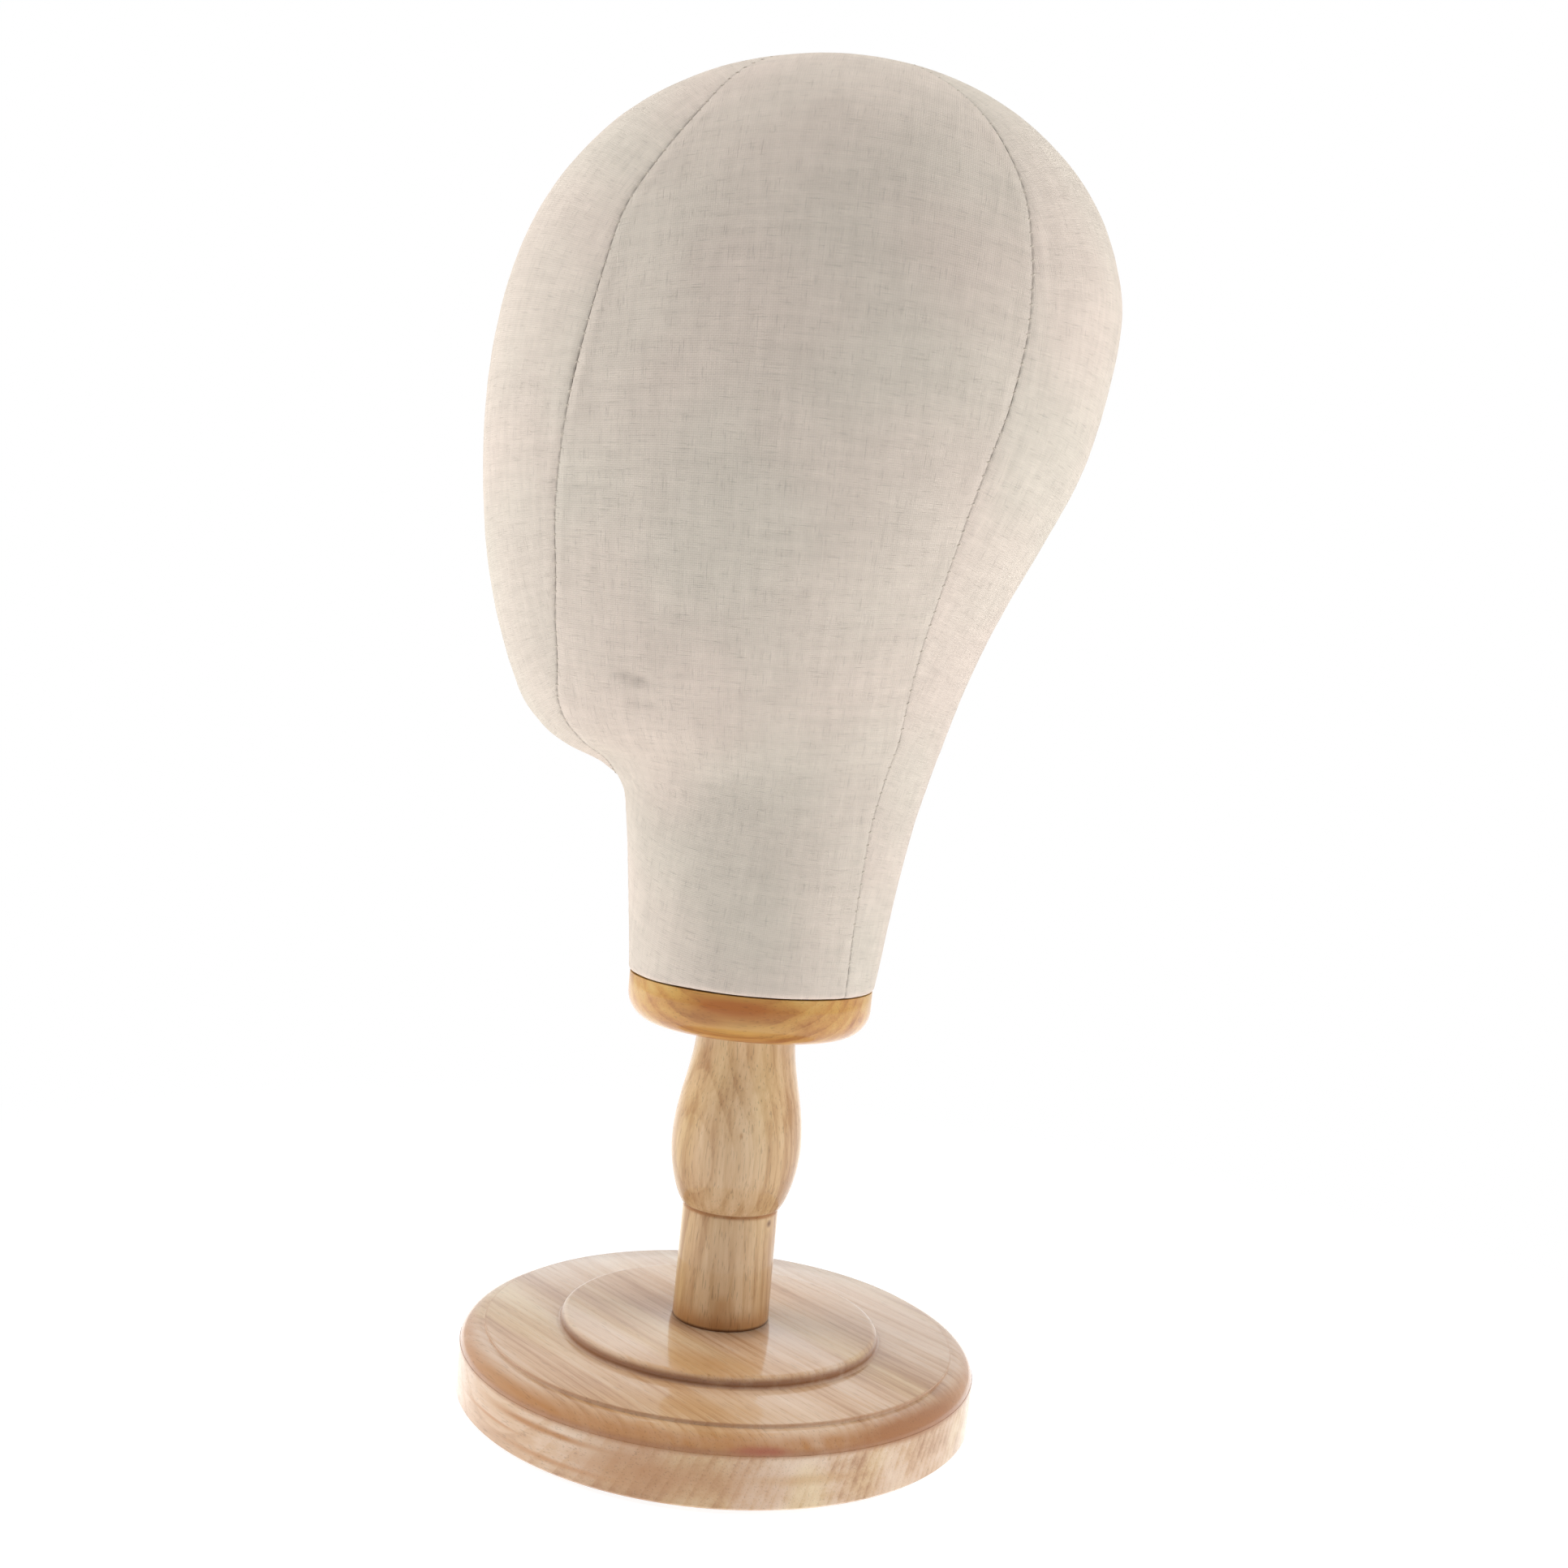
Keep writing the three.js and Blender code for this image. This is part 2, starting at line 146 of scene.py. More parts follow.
# Cover
CANVAS = 0.7 * MM
THREAD_PITCH = 0.62 * MM
SEAM_GAP = 0.04 * MM
SEAM_DEPTH = 0.2 * MM
SEAM_WIDTH = 0.5 * MM
# How wide the seam's line of painted shade is, along its valley
SEAM_SHADE_WIDTH = 0.42 * MM
# How dark the painted shade of the seam's line is, by the wave that is 1 at each stitch and -1
# between them
SEAM_SHADE_DASHES = ((-0.2, 0.7), (1, 0.12))
ALLOWANCE_RISE = 0.14 * MM
ALLOWANCE_PLACE = 3.2 * MM
ALLOWANCE_WIDTH = 1.8 * MM
PUCKER_RISE = 0.09 * MM
PUCKER_REACH = 4 * MM
# The seams pull by so much more and less, over waves of this length
PULL_CHANGE = 0.35
PULL_WAVE = 22 * MM
STITCH_PITCH = 4.1 * MM
STITCH_REACH = 0.8 * MM
STITCH_RADIUS = 0.2 * MM
STITCH_SLANT = (0.2, 0.6)
STITCH_SUNK = SEAM_DEPTH * 0.3
# No stitch is nearer than this to its seam's end, and the seam's direction is taken over so much
STITCH_MARGIN = 2 * MM
STITCH_AIM = 0.5 * MM
# The slack's broad waves and its ripples, and how near a seam it is pulled smooth
SLACK_RISE = 0.14 * MM
SLACK_WAVE = 34 * MM
RIPPLE_RISE = SLACK_RISE / 3
RIPPLE_WAVE = 9 * MM
SLACK_CLEAR = 5 * MM
# The hem is rounded inwards and stands proud of the head and off the plate, less and less with
# height. Its gap over the plate rises and falls in waves, and its lowest band is painted paler,
# a painted highlight where the folded edge catches the light.
HEM_ROUNDING = 1.3 * MM
HEM_TURN = 0.5 * MM
HEM_PROUD = 0.3 * MM
HEM_PROUD_REACH = 15 * MM
HEM_GAP = 0.35 * MM
HEM_GAP_RISE = 0.2 * MM
HEM_GAP_WAVE = 24 * MM
HEM_GAP_REACH = 4 * MM
# The band low on the hem that is painted paler as a highlight
HEM_HIGHLIGHT_BAND = (0.21 * MM, 1.61 * MM)
# The seams show less and less between these shares of the head's height
SEAM_FADE = (0.87, 0.97)
# How much the back seams show at these shares of the head's height
NAPE_SEAM = ((0.02, 0.08, 0.42, 0.56), (0.9, 0.45, 0.45, 1))
# The front seams are rougher round this height
ROUGH_Z = 312.5 * MM
ROUGH_REACH = 9 * MM
ROUGH_PULL = 1.5
# Small hollows that the stretched canvas has on its left cheek: y, z, radius, depth and how much
# longer than high each is
CHEEK_HOLLOWS = [
    (-44.3, 226.8, 1.4, 0.6, 1.8), (-39.6, 225.5, 1.8, 0.75, 1.6), (-41, 218.7, 1.5, 0.5, 1.6),
    (-36.4, 218.6, 1.3, 0.5, 1.8), (-58.5, 278.6, 1.0, 0.35, 7),
]
# How dark a hollow is for each millimetre of its depth, where a seam's line is 1
HOLLOW_SHADE = 0.7

# Studio
CAMERA_TILT = math.radians(1.435)
CAMERA_ROLL = math.radians(5.33)
CAMERA_DISTANCE = 0.5196
CAMERA_HEIGHT = 0.19808
CAMERA_ASIDE = 0.00458
LENS = 37.27
SENSOR = 36
LAMP_SIZE = 1.1
LAMP_TARGET = Vector((0, 0, 0.25))
LAMPS = [
    ("soft lamp before the face", (-0.09, -1.04, 0.74), 13.6),
    ("soft lamp behind the head", (0.14, 1.03, 0.74), 11.2),
    ("soft lamp over the head", (0, 0, 1.4), 9.2),
]
ROOM_LIGHT = 0.05
FLOOR_GLOW = 0.64
FLOOR_RADIUS = 4

# How finely things are meshed
SIDES = 144
SMALL_SIDES = 40
ARC_STEPS = 12
SKIN_ROWS = 420
SKIN_COLUMNS = 360
SEAM_SAMPLES = 2400
SEAM_SPACING = 0.1 * MM
PANEL_ROWS = 270
PANEL_COLUMNS = 160
STRIP_ROWS = 600
STRIP_COLUMNS = 62
STRIP_START = 0.25 * MM
EDGE_POINTS = 200
PATTERN_STEP = 5
MERGE_DISTANCE = 0.002 * MM
CORNER_ANGLE = math.radians(32)
WOOD_SMOOTHING = math.radians(28)
CLOTH_SMOOTHING = math.radians(50)
SEED = 7


# Shaders
class Wire:
    """A socket in a node tree that Python's operators reckon with."""

    def __init__(self, tree, socket=None):
        self.tree = tree
        self.socket = socket

    def node(self, kind, settings=None, inputs=None, output=0):
        """Adds any node: its settings first, then the values or links of its sockets."""
        made = self.tree.nodes.new(kind)
        for name, value in (settings or {}).items():
            if name == "stops":
                ramp = made.color_ramp
                while len(ramp.elements) < len(value):
                    ramp.elements.new(0.5)
                for stop, (place, colour) in zip(ramp.elements, value):
                    stop.position = place
                    stop.color = (*colour, 1)
            else:
                setattr(made, name, value)
        for name, value in (inputs or {}).items():
            if isinstance(value, Wire):
                self.tree.links.new(value.socket, made.inputs[name])
            else:
                made.inputs[name].default_value = value
        return Wire(self.tree, None if output is None else made.outputs[output])

    def part(self, name):
        """Another output of the node that this socket belongs to."""
        return Wire(self.tree, self.socket.node.outputs[name])

    def maths(self, operation, *others):
        inputs = dict(enumerate((self, *others)))
        return self.node("ShaderNodeMath", {"operation": operation}, inputs)

    def __add__(self, other):
        return self.maths("ADD", other)

    def __sub__(self, other):
        return self.maths("SUBTRACT", other)

    def __rsub__(self, other):
        return self.maths("MULTIPLY_ADD", -1, other)

    def __mul__(self, other):
        return self.maths("MULTIPLY", other)

    __radd__ = __add__
    __rmul__ = __mul__

    def moved(self, other):
        return self.node("ShaderNodeVectorMath", {"operation": "ADD"}, {0: self, 1: other})

    def times(self, other):
        """This vector or colour times another one, or times a number."""
        return self.node("ShaderNodeVectorMath", {"operation": "MULTIPLY"}, {0: self, 1: other})

    def stretched(self, x, y, z):
        return self.times((x, y, z))

    def length(self):
        return self.node("ShaderNodeVectorMath", {"operation": "LENGTH"}, {0: self}, 1)

    def noise(self, detail=2.0, roughness=0.5):
        return self.node("ShaderNodeTexNoise", None, {
            "Vector": self, "Scale": 1.0, "Detail": detail, "Roughness": roughness})

    def step(self, low, high):
        """0 below low, 1 above high, and smooth between them."""
        return self.node("ShaderNodeMapRange", {"interpolation_type": "SMOOTHSTEP"}, {
            "Value": self, "From Min": low, "From Max": high})

    def ramp(self, *stops):
        return self.node("ShaderNodeValToRGB", {"stops": stops}, {0: self})

    def mix(self, first, second):
        """The first colour where this is 0, and the second where it is 1."""
        return self.node("ShaderNodeMix", {"data_type": "RGBA"}, {0: self, 6: first, 7: second}, 2)

    def bump(self, strength, distance):
        return self.node("ShaderNodeBump", None, {
            "Height": self, "Strength": strength, "Distance": distance})


def new_material(name):
    material = bpy.data.materials.new(name)
    material.use_nodes = True
    material.node_tree.nodes.clear()
    return material, Wire(material.node_tree)


def finished(material, wires, surface):
    """The material with its tree ended in a Principled shader with these values and links."""
    shader = wires.node("ShaderNodeBsdfPrincipled", None, surface)
    wires.node("ShaderNodeOutputMaterial", None, {"Surface": shader}, None)
    return material


def mark(place, at, reach):
    """1 at a spot of the piece, falling to 0 at its reach along each axis, all in millimetres.

    With two numbers it is a ring round the piece's axis, given by its radius and height."""
    if len(at) == 2:
        radius = place.stretched(1, 1, 0).length()
        height = place.node("ShaderNodeSeparateXYZ", None, {0: place}, 2)
        place = place.node("ShaderNodeCombineXYZ", None, {0: radius, 2: height})
        at, reach = (at[0], 0, at[1]), (reach[0], 1, reach[1])
    away = place.moved([-x * MM for x in at]).times([1 / (r * MM) for r in reach]).length()
    return 1 - away.step(0.1, 1.0)


def grown_wood(name, stops, turn, heart, ring, streak, pores, coat, grain=1.0, marks=()):
    """Lacquered wood, its grain along X once turned, its growth rings round a heart line.

    Each mark is its place and its reach in millimetres, its strength and its colour."""
    material, wires = new_material(name)
    place = wires.node("ShaderNodeTexCoord").part("Object")
    board = wires.node("ShaderNodeMapping", {"vector_type": "TEXTURE"}, {
        "Vector": place, "Location": heart, "Rotation": turn})
    wander = board.stretched(5, 26, 26).noise(2.0)
    rings = (board.stretched(0, 1, 1).length() * (1 / ring) + wander * 2.4).maths("FRACT")
    late = rings.step(0.25, 0.9) * (1 - rings.step(0.92, 1.0))
    broad = board.stretched(6, 70, 70).noise(2.0)
    medium = board.stretched(16, 260, 260).noise(2.0)
    fibre = board.stretched(60, 1300, 1300).noise(2.0)
    pore = board.stretched(170, 2300, 2300).noise(1.0).step(0.6, 0.7)
    fine = (medium - 0.5) * 0.75 + (fibre - 0.5) * 0.4 + late * streak
    tone = (broad - 0.5) * 1.5 + fine * grain + 0.5
    colour = tone.ramp(*stops)
    yellow = board.stretched(5, 45, 45).moved((4.7, 1.3, 2.1)).noise(1.0).step(0.48, 0.66)
    colour = yellow.mix(colour, colour.times((1.0, 1.01, 0.86)))
    # Marks paint colour over the wood: some are its own streaks, spots and knots, some are painted
    # shade and reflection
    for at, reach, strength, tint in marks:
        colour = (mark(place, at, reach) * strength * (medium + 0.5)).mix(colour, (*tint, 1))
    colour = colour.times(1 - pore * pores)
    height = fibre * 0.4 - pore * 0.6 - late * 0.2
    return finished(material, wires, {
        "Base Color": colour,
        "Roughness": fibre * 0.12 + 0.32 + pore * 0.1,
        "Specular IOR Level": 0.15,
        "Coat Weight": coat,
        "Coat Roughness": 0.08,
        "Normal": height.bump(0.25, 0.00012),
    })


def linen_canvas():
    material, wires = new_material("Natural linen canvas")
    cut = wires.node("ShaderNodeUVMap", {"uv_map": "cut"})
    drift = cut.stretched(55, 55, 1).noise(1.0) * (0.9 * MM)
    both = wires.node("ShaderNodeSeparateXYZ", None, {0: cut})
    pitch = math.pi / THREAD_PITCH
    warp = ((both.part("X") + drift) * pitch).maths("SINE")
    weft = ((both.part("Y") - drift) * pitch).maths("SINE")
    over = (warp * weft).step(-0.25, 0.25)
    weave = over * warp.maths("ABSOLUTE") + (1 - over) * weft.maths("ABSOLUTE")
    along = cut.stretched(170, 1900, 1).noise(2.0)
    upright = cut.stretched(1900, 170, 1).noise(2.0)
    slubs = along.step(0.58, 0.73) + upright.step(0.58, 0.73)
    thin = (1 - along).step(0.6, 0.75) + (1 - upright).step(0.6, 0.75)
    bands = cut.stretched(45, 380, 1).noise(1.0) + cut.stretched(380, 45, 1).noise(1.0)
    mottle = cut.stretched(65, 65, 1).noise(3.0, 0.6)
    tint = cut.stretched(17, 17, 1).moved((3.1, 5.7, 0)).noise(1.0)
    seam = wires.node("ShaderNodeAttribute", {"attribute_name": "seam"}, None, 2)
    hem = wires.node("ShaderNodeAttribute", {"attribute_name": "hem"}, None, 2)
    colour = tint.step(0.3, 0.7).mix((0.64, 0.58, 0.505, 1), (0.67, 0.58, 0.51, 1))
    # Painted highlight: the hem's lowest band is painted paler, where its folded edge catches the
    # light
    colour = hem.mix(colour, (0.76, 0.65, 0.57, 1))
    shade = 0.97 + (mottle - 0.5) * 0.18 + (bands - 1.0) * 0.15 - slubs * 0.12 + thin * 0.06
    # Painted shade: the seam attribute darkens the cloth in the seams' valleys and in the hollows
    shade = shade + (weave - 0.6) * 0.08 - seam * 0.36
    height = weave + slubs * 0.9 - thin * 0.4 + (mottle - 0.5) * 0.8
    return finished(material, wires, {
        "Base Color": colour.times(shade),
        "Roughness": 0.93 - slubs * 0.05,
        "Specular IOR Level": 0.08,
        "Normal": height.bump(0.45, 0.00018),
    })


def sewing_thread():
    material, wires = new_material("Waxed linen thread")
    place = wires.node("ShaderNodeTexCoord").part("Object")
    twist = place.stretched(2600, 2600, 900).noise(1.0)
    return finished(material, wires, {
        "Base Color": twist.ramp((0.3, (0.42, 0.37, 0.31)), (0.7, (0.62, 0.56, 0.48))),
        "Roughness": twist * 0.2 + 0.6,
        "Normal": twist.bump(0.4, 0.0001),
    })


def wool_felt():
    material, wires = new_material("Pressed wool felt")
    place = wires.node("ShaderNodeTexCoord").part("Object")
    hair = place.stretched(900, 900, 900).noise(4.0, 0.7)
    cloud = place.stretched(90, 90, 90).noise(2.0)
    tone = hair * 0.7 + cloud * 0.4
    return finished(material, wires, {
        "Base Color": tone.ramp((0.3, (0.045, 0.04, 0.034)), (0.8, (0.12, 0.11, 0.098))),
        "Roughness": 0.9 + hair * 0.1,
        "Normal": hair.bump(0.6, 0.0003),
    })


def brushed_steel():
    material, wires = new_material("Zinc plated steel")
    place = wires.node("ShaderNodeTexCoord").part("Object")
    turned_marks = place.stretched(400, 400, 5200).noise(2.0)
    stain = place.stretched(260, 260, 260).noise(3.0)
    return finished(material, wires, {
        "Base Color": stain.ramp((0.35, (0.46, 0.46, 0.47)), (0.7, (0.62, 0.62, 0.61))),
        "Metallic": 1.0,
        "Roughness": turned_marks * 0.22 + 0.22,
        "Normal": turned_marks.bump(0.2, 0.00005),
    })


def pressed_cork():
    material, wires = new_material("Pressed cork")
    place = wires.node("ShaderNodeTexCoord").part("Object")
    grains = wires.node("ShaderNodeTexVoronoi", None, {"Vector": place, "Scale": 420.0}, 1)
    grey = wires.node("ShaderNodeSeparateXYZ", None, {0: grains})
    edge = wires.node("ShaderNodeTexVoronoi", {"feature": "DISTANCE_TO_EDGE"}, {
        "Vector": place, "Scale": 420.0})
    tone = grey * 0.8 + edge.step(0.0, 0.08) * 0.2
    return finished(material, wires, {
        "Base Color": tone.ramp((0.0, (0.13, 0.07, 0.035)), (0.6, (0.36, 0.22, 0.11)),
                                (1.0, (0.5, 0.33, 0.18))),
        "Roughness": 0.85 + grey * 0.1,
        "Normal": edge.step(0.0, 0.1).bump(0.5, 0.0004),
    })


# Turned and drilled pieces
def arc(radius, height, width, rise, start, end):
    """Points of a quarter round from one angle to another in degrees."""
    return [(radius + width * math.cos(a), height + rise * math.sin(a))
            for a in np.radians(np.linspace(start, end, ARC_STEPS + 1))]


def deselect():
    bpy.ops.object.select_all(action="DESELECT")


def select_only(piece):
    deselect()
    bpy.context.view_layer.objects.active = piece
    piece.select_set(True)


def new_object(name, data):
    made = bpy.data.objects.new(name, data)
    bpy.context.collection.objects.link(made)
    return made


def modified(piece, kind, **settings):
    """Gives the active piece a modifier with these settings, and applies it."""
    modifier = piece.modifiers.new(kind, kind)
    for name, value in settings.items():
        setattr(modifier, name, value)
    bpy.ops.object.modifier_apply(modifier=modifier.name)


def turned(name, profile, sides=SIDES, at=(0, 0), closed=False, edge=0.25 * MM):
    """A turned piece. The profile is radius and height; its corners are softened last."""
    deselect()
    bpy.ops.mesh.primitive_plane_add(size=MM)
    piece = bpy.context.object
    piece.name = piece.data.name = name
    bpy.ops.object.mode_set(mode="EDIT")
    bpy.ops.mesh.merge(type="CENTER")
    path = [*profile, profile[0]] if closed else profile
    bpy.ops.transform.translate(value=(path[0][0], 0, path[0][1]))
    for (from_radius, from_height), (radius, height) in zip(path, path[1:]):
        bpy.ops.mesh.extrude_vertices_move(
            TRANSFORM_OT_translate={"value": (radius - from_radius, 0, height - from_height)})
    bpy.ops.mesh.select_all(action="SELECT")
    bpy.ops.mesh.spin(steps=sides, angle=2 * math.pi, center=(0, 0, 0), axis=(0, 0, 1))
    bpy.ops.mesh.select_all(action="SELECT")
    bpy.ops.mesh.remove_doubles(threshold=MERGE_DISTANCE)
    bpy.ops.mesh.normals_make_consistent(inside=False)
    bpy.ops.transform.translate(value=(at[0], at[1], 0))
    bpy.ops.object.mode_set(mode="OBJECT")
    if edge:
        modified(piece, "BEVEL", limit_method="ANGLE", angle_limit=CORNER_ANGLE, width=edge,
                 segments=2)
    bpy.ops.object.shade_smooth_by_angle(angle=WOOD_SMOOTHING)
    return piece


def drilled(piece, drill):
    """Cuts a drill's shape out of the piece."""
    select_only(piece)
    modified(piece, "BOOLEAN", operation="DIFFERENCE", solver="EXACT", object=drill)
    bpy.ops.object.shade_smooth_by_angle(angle=WOOD_SMOOTHING)
    bpy.data.objects.remove(drill)


def finish_solid(node, material):
    """Gives one of the frame's own solids its finish."""
    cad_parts[node].material_slots[0].material = material


def finish_piece(piece, body, slot, material, *nodes):
    """Gives a new piece its finish, its body and the solids that it stands for."""
    piece.data.materials.clear()
    piece.data.materials.append(material)
    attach(piece, body)
    if nodes:
        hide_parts(*nodes)


def base_profile():
    outer = base_high.x
    side_top = base_low.z + SIDE_HEIGHT
    inner = outer - RIM_LEDGE - ROUND_WIDTH
    ring = side_top + ROUND_HEIGHT + RIM_QUIRK
    recess = washer_high.x + SLIP
    socket = TENON_RADIUS + SLIP
    return [
        (SCREW_BORE_RADIUS, washer_high.z), (recess, washer_high.z), (recess, base_low.z),
        (outer - BASE_CHAMFER, base_low.z), (outer, base_low.z + BASE_CHAMFER), (outer, side_top),
        *arc(inner, side_top, ROUND_WIDTH, ROUND_HEIGHT, 0, 90),
        (inner, ring),
        *arc(STEP_RADIUS + STEP_COVE, ring + STEP_COVE, STEP_COVE, STEP_COVE, 270, 180),
        *arc(STEP_RADIUS - STEP_ROUNDING, STEP_Z - STEP_ROUNDING, STEP_ROUNDING, STEP_ROUNDING,
             0, 90),
        (socket, STEP_Z), (socket, stem_low.z - SLIP), (SCREW_BORE_RADIUS, stem_low.z - SLIP),
    ]


def stem_profile():
    crease = STEP_Z + FOOT_LENGTH
    bulb = crease + CREASE_HEIGHT
    length = SHOULDER_Z - bulb
    shares = np.array([(2 * BULB[0][0] - BULB[1][0], -BULB[1][1]), *BULB,
                       (BULB[-1][0], 2 - BULB[-2][1])])
    outline = catmull(shares, np.linspace(0, len(BULB) - 1, 4 * (len(BULB) - 1) + 1))
    return [
        (0, SCREW_BORE_TOP), (SCREW_BORE_RADIUS, SCREW_BORE_TOP), (SCREW_BORE_RADIUS, stem_low.z),
        (TENON_RADIUS, stem_low.z), (TENON_RADIUS, STEP_Z), (FOOT_RADIUS, STEP_Z),
        *[(radius * MM, crease + height * MM) for radius, height in CREASE],
        *[(radius * BULB_RADIUS, bulb + height * length) for radius, height in outline],
        (BORE_RADIUS, SHOULDER_Z), (BORE_RADIUS, SHOULDER_Z - STEM_BORE_DEPTH),
        (0, SHOULDER_Z - STEM_BORE_DEPTH),
    ]


def plate_profile():
    round_top = SHOULDER_Z + PLATE_ROUNDING
    return [
        (BORE_RADIUS, SHOULDER_Z),
        *arc(NECK_RADIUS - PLATE_ROUNDING, round_top, PLATE_ROUNDING, PLATE_ROUNDING, -90, 0),
        (NECK_RADIUS, RIM_Z), (BORE_RADIUS, RIM_Z),
    ]


def peg_profile():
    return [
        (0, peg_low.z), (PEG_RADIUS - PEG_CHAMFER, peg_low.z),
        (PEG_RADIUS, peg_low.z + PEG_CHAMFER), (PEG_RADIUS, peg_high.z - PEG_CHAMFER),
        (PEG_RADIUS - PEG_CHAMFER, peg_high.z), (0, peg_high.z),
    ]


def felt_profile():
    return [(0, felt_low.z), (felt_high.x, felt_low.z), (felt_high.x, felt_high.z), (0, felt_high.z)]


# The head's skin
def catmull(points, t):
    """A smooth curve through all points but the first and last, at t from 0 up, one per point."""
    t = np.asarray(t, float)
    index = np.clip(np.floor(t).astype(int), 0, len(points) - 4)
    f = (t - index)[..., None]
    a, b, c, d = (points[index + k] for k in range(4))
    square = 2 * b + (c - a) * f + (2 * a - 5 * b + 4 * c - d) * f**2
    return 0.5 * (square + (3 * b - a - 3 * c + d) * f**3)


def head_ovals():
    """Rows of front y, front height, back y, back height, half width and fullness."""
    rows = [(front[0] * along, front[1] * HEAD_HEIGHT, back[0] * along, back[1] * HEAD_HEIGHT,
             half * across, full)
            for stations, along, across in ((NECK_STATIONS, NECK_RADIUS, NECK_RADIUS),
                                            (HEAD_STATIONS, HEAD_LENGTH, HEAD_WIDTH))
            for front, back, half, full in stations]
    front_y, front_z, back_y, back_z, half, full = rows[-1]
    for i in range(1, CROWN_STATIONS + 1):
        angle = math.pi / 2 * i / CROWN_STATIONS
        cos, sin = max(math.cos(angle), 0.0), math.sin(angle)
        rows.append((
            CROWN_Y + (front_y - CROWN_Y) * cos**FRONT_POWER,
            front_z + (HEAD_HEIGHT - front_z) * sin**FRONT_POWER,
            CROWN_Y + (back_y - CROWN_Y) * cos**BACK_POWER,
            back_z + (HEAD_HEIGHT - back_z) * sin**BACK_POWER,
            half * cos**SIDE_POWER, full))
    rows = np.array(rows)
    over = rows[-2]
    beyond = np.array([over[2], over[3], over[0], over[1], -over[4], over[5]])
    return np.vstack([2 * rows[0] - rows[1], rows, beyond])


OVALS = head_ovals()
CROWN_ROW = len(OVALS) - 3


def skin(row, angle):
    """Points of the head's outside: row 0 is the rim, and angle 0 is the left side, -90 the front."""
    front_y, front_z, back_y, back_z, half, full = np.moveaxis(catmull(OVALS, row), -1, 0)
    along = np.sin(angle)
    return np.stack([
        half * np.cos(angle) * (1 + full * along),
        (front_y + back_y) / 2 + (back_y - front_y) / 2 * along,
        RIM_Z + (front_z + back_z) / 2 + (back_z - front_z) / 2 * along,
    ], -1)


# The rows start a little below the rim
SKIN_LEVELS = np.linspace(-0.2, CROWN_ROW, SKIN_ROWS)
SKIN_ANGLES = np.linspace(-math.pi, math.pi, SKIN_COLUMNS, endpoint=False)


def skin_tree():
    points = skin(SKIN_LEVELS[:, None], SKIN_ANGLES[None, :])
    index = np.arange(SKIN_ROWS * SKIN_COLUMNS).reshape(SKIN_ROWS, SKIN_COLUMNS)
    right = np.roll(index, -1, 1)
    quads = np.stack([index[:-1], right[:-1], right[1:], index[1:]], -1).reshape(-1, 4)
    triangles = np.concatenate([quads[:, [0, 1, 2]], quads[:, [0, 2, 3]]])
    corners = points.reshape(-1, 3).tolist()
    return BVHTree.FromPolygons(corners, triangles.tolist(), all_triangles=True)


SKIN_TREE = skin_tree()
SEAM_CURVE = np.array([
    2 * np.array(SEAM_STATIONS[0]) - SEAM_STATIONS[1], *SEAM_STATIONS,
    2 * np.array(SEAM_STATIONS[-1]) - SEAM_STATIONS[-2]])
SEAM_END = len(SEAM_STATIONS) - 1


def on_skin(along, across, offset=0.0):
    """Points of the skin over the seam table: across is -1 at the right seam and 1 at the left."""
    points = np.empty((*along.shape, 3))
    stations = catmull(SEAM_CURVE, along)
    reach = HEAD_HEIGHT * 2
    for index in np.ndindex(along.shape):
        height, direction, half = stations[index]
        angle = math.radians(direction)
        out = Vector((0, -math.cos(angle), math.sin(angle)))
        x = across[index] * (half * HEAD_WIDTH + offset)
        start = Vector((x, 0, RIM_Z + height * HEAD_HEIGHT)) + out * reach
        points[index] = SKIN_TREE.ray_cast(start, -out)[0]
    return points


def lengths(points):
    """How far along a line each of its points is."""
    return np.concatenate([[0], np.cumsum(np.linalg.norm(np.diff(points, axis=0), axis=1))])


def points_at(line, travelled, at):
    """A line's points at these lengths, its own points being at the travelled ones."""
    return np.stack([np.interp(at, travelled, column) for column in line.T], -1)


def nearest(corners, points):
    """The nearest corner of each point, and its distance."""
    finder = KDTree(len(corners))
    for i, corner in enumerate(corners):
        finder.insert(corner, i)
    finder.balance()
    found = [finder.find(point)[1:] for point in points]
    return np.array([i for i, _ in found]), np.array([distance for _, distance in found])


seam_steps = np.linspace(0, SEAM_END, SEAM_SAMPLES)
left_seam = on_skin(seam_steps, np.ones(SEAM_SAMPLES))


def chart_of(points):
    """The row and angle of points on the skin, found from the nearest corner and then refined."""
    corners = skin(SKIN_LEVELS[:, None], SKIN_ANGLES[None, :]).reshape(-1, 3)
    index, _ = nearest(corners, points)
    row = SKIN_LEVELS[index // SKIN_COLUMNS].copy()
    angle = SKIN_ANGLES[index % SKIN_COLUMNS].copy()
    nudge = 1e-4
    for _ in range(6):
        here = skin(row, angle)
        by_row = (skin(row + nudge, angle) - here) / nudge
        by_angle = (skin(row, angle + nudge) - here) / nudge
        miss = points - here
        aa, ab, bb = (by_row**2).sum(1), (by_row * by_angle).sum(1), (by_angle**2).sum(1)
        ma, mb = (miss * by_row).sum(1), (miss * by_angle).sum(1)
        scale = aa * bb - ab**2
        row += (ma * bb - mb * ab) / scale
        angle += (mb * aa - ma * ab) / scale
    return np.stack([row, angle], -1)


# Cover
FRONT = -math.pi / 2
MIRROR = np.array([-1.0, 1.0, 1.0])
tip_row = chart_of(on_skin(np.zeros(1), np.zeros(1)))[0, 0]
throat_rows = np.linspace(0, tip_row, EDGE_POINTS)
throat_seam = skin(throat_rows, np.full(EDGE_POINTS, FRONT))


def sewing_line(line):
    """The line's points at even spacing."""
    travelled = lengths(line)
    return points_at(line, travelled, np.arange(0, travelled[-1], SEAM_SPACING))


LEFT_LINE = sewing_line(left_seam)
RIGHT_LINE = LEFT_LINE * MIRROR
THROAT_LINE = sewing_line(throat_seam)


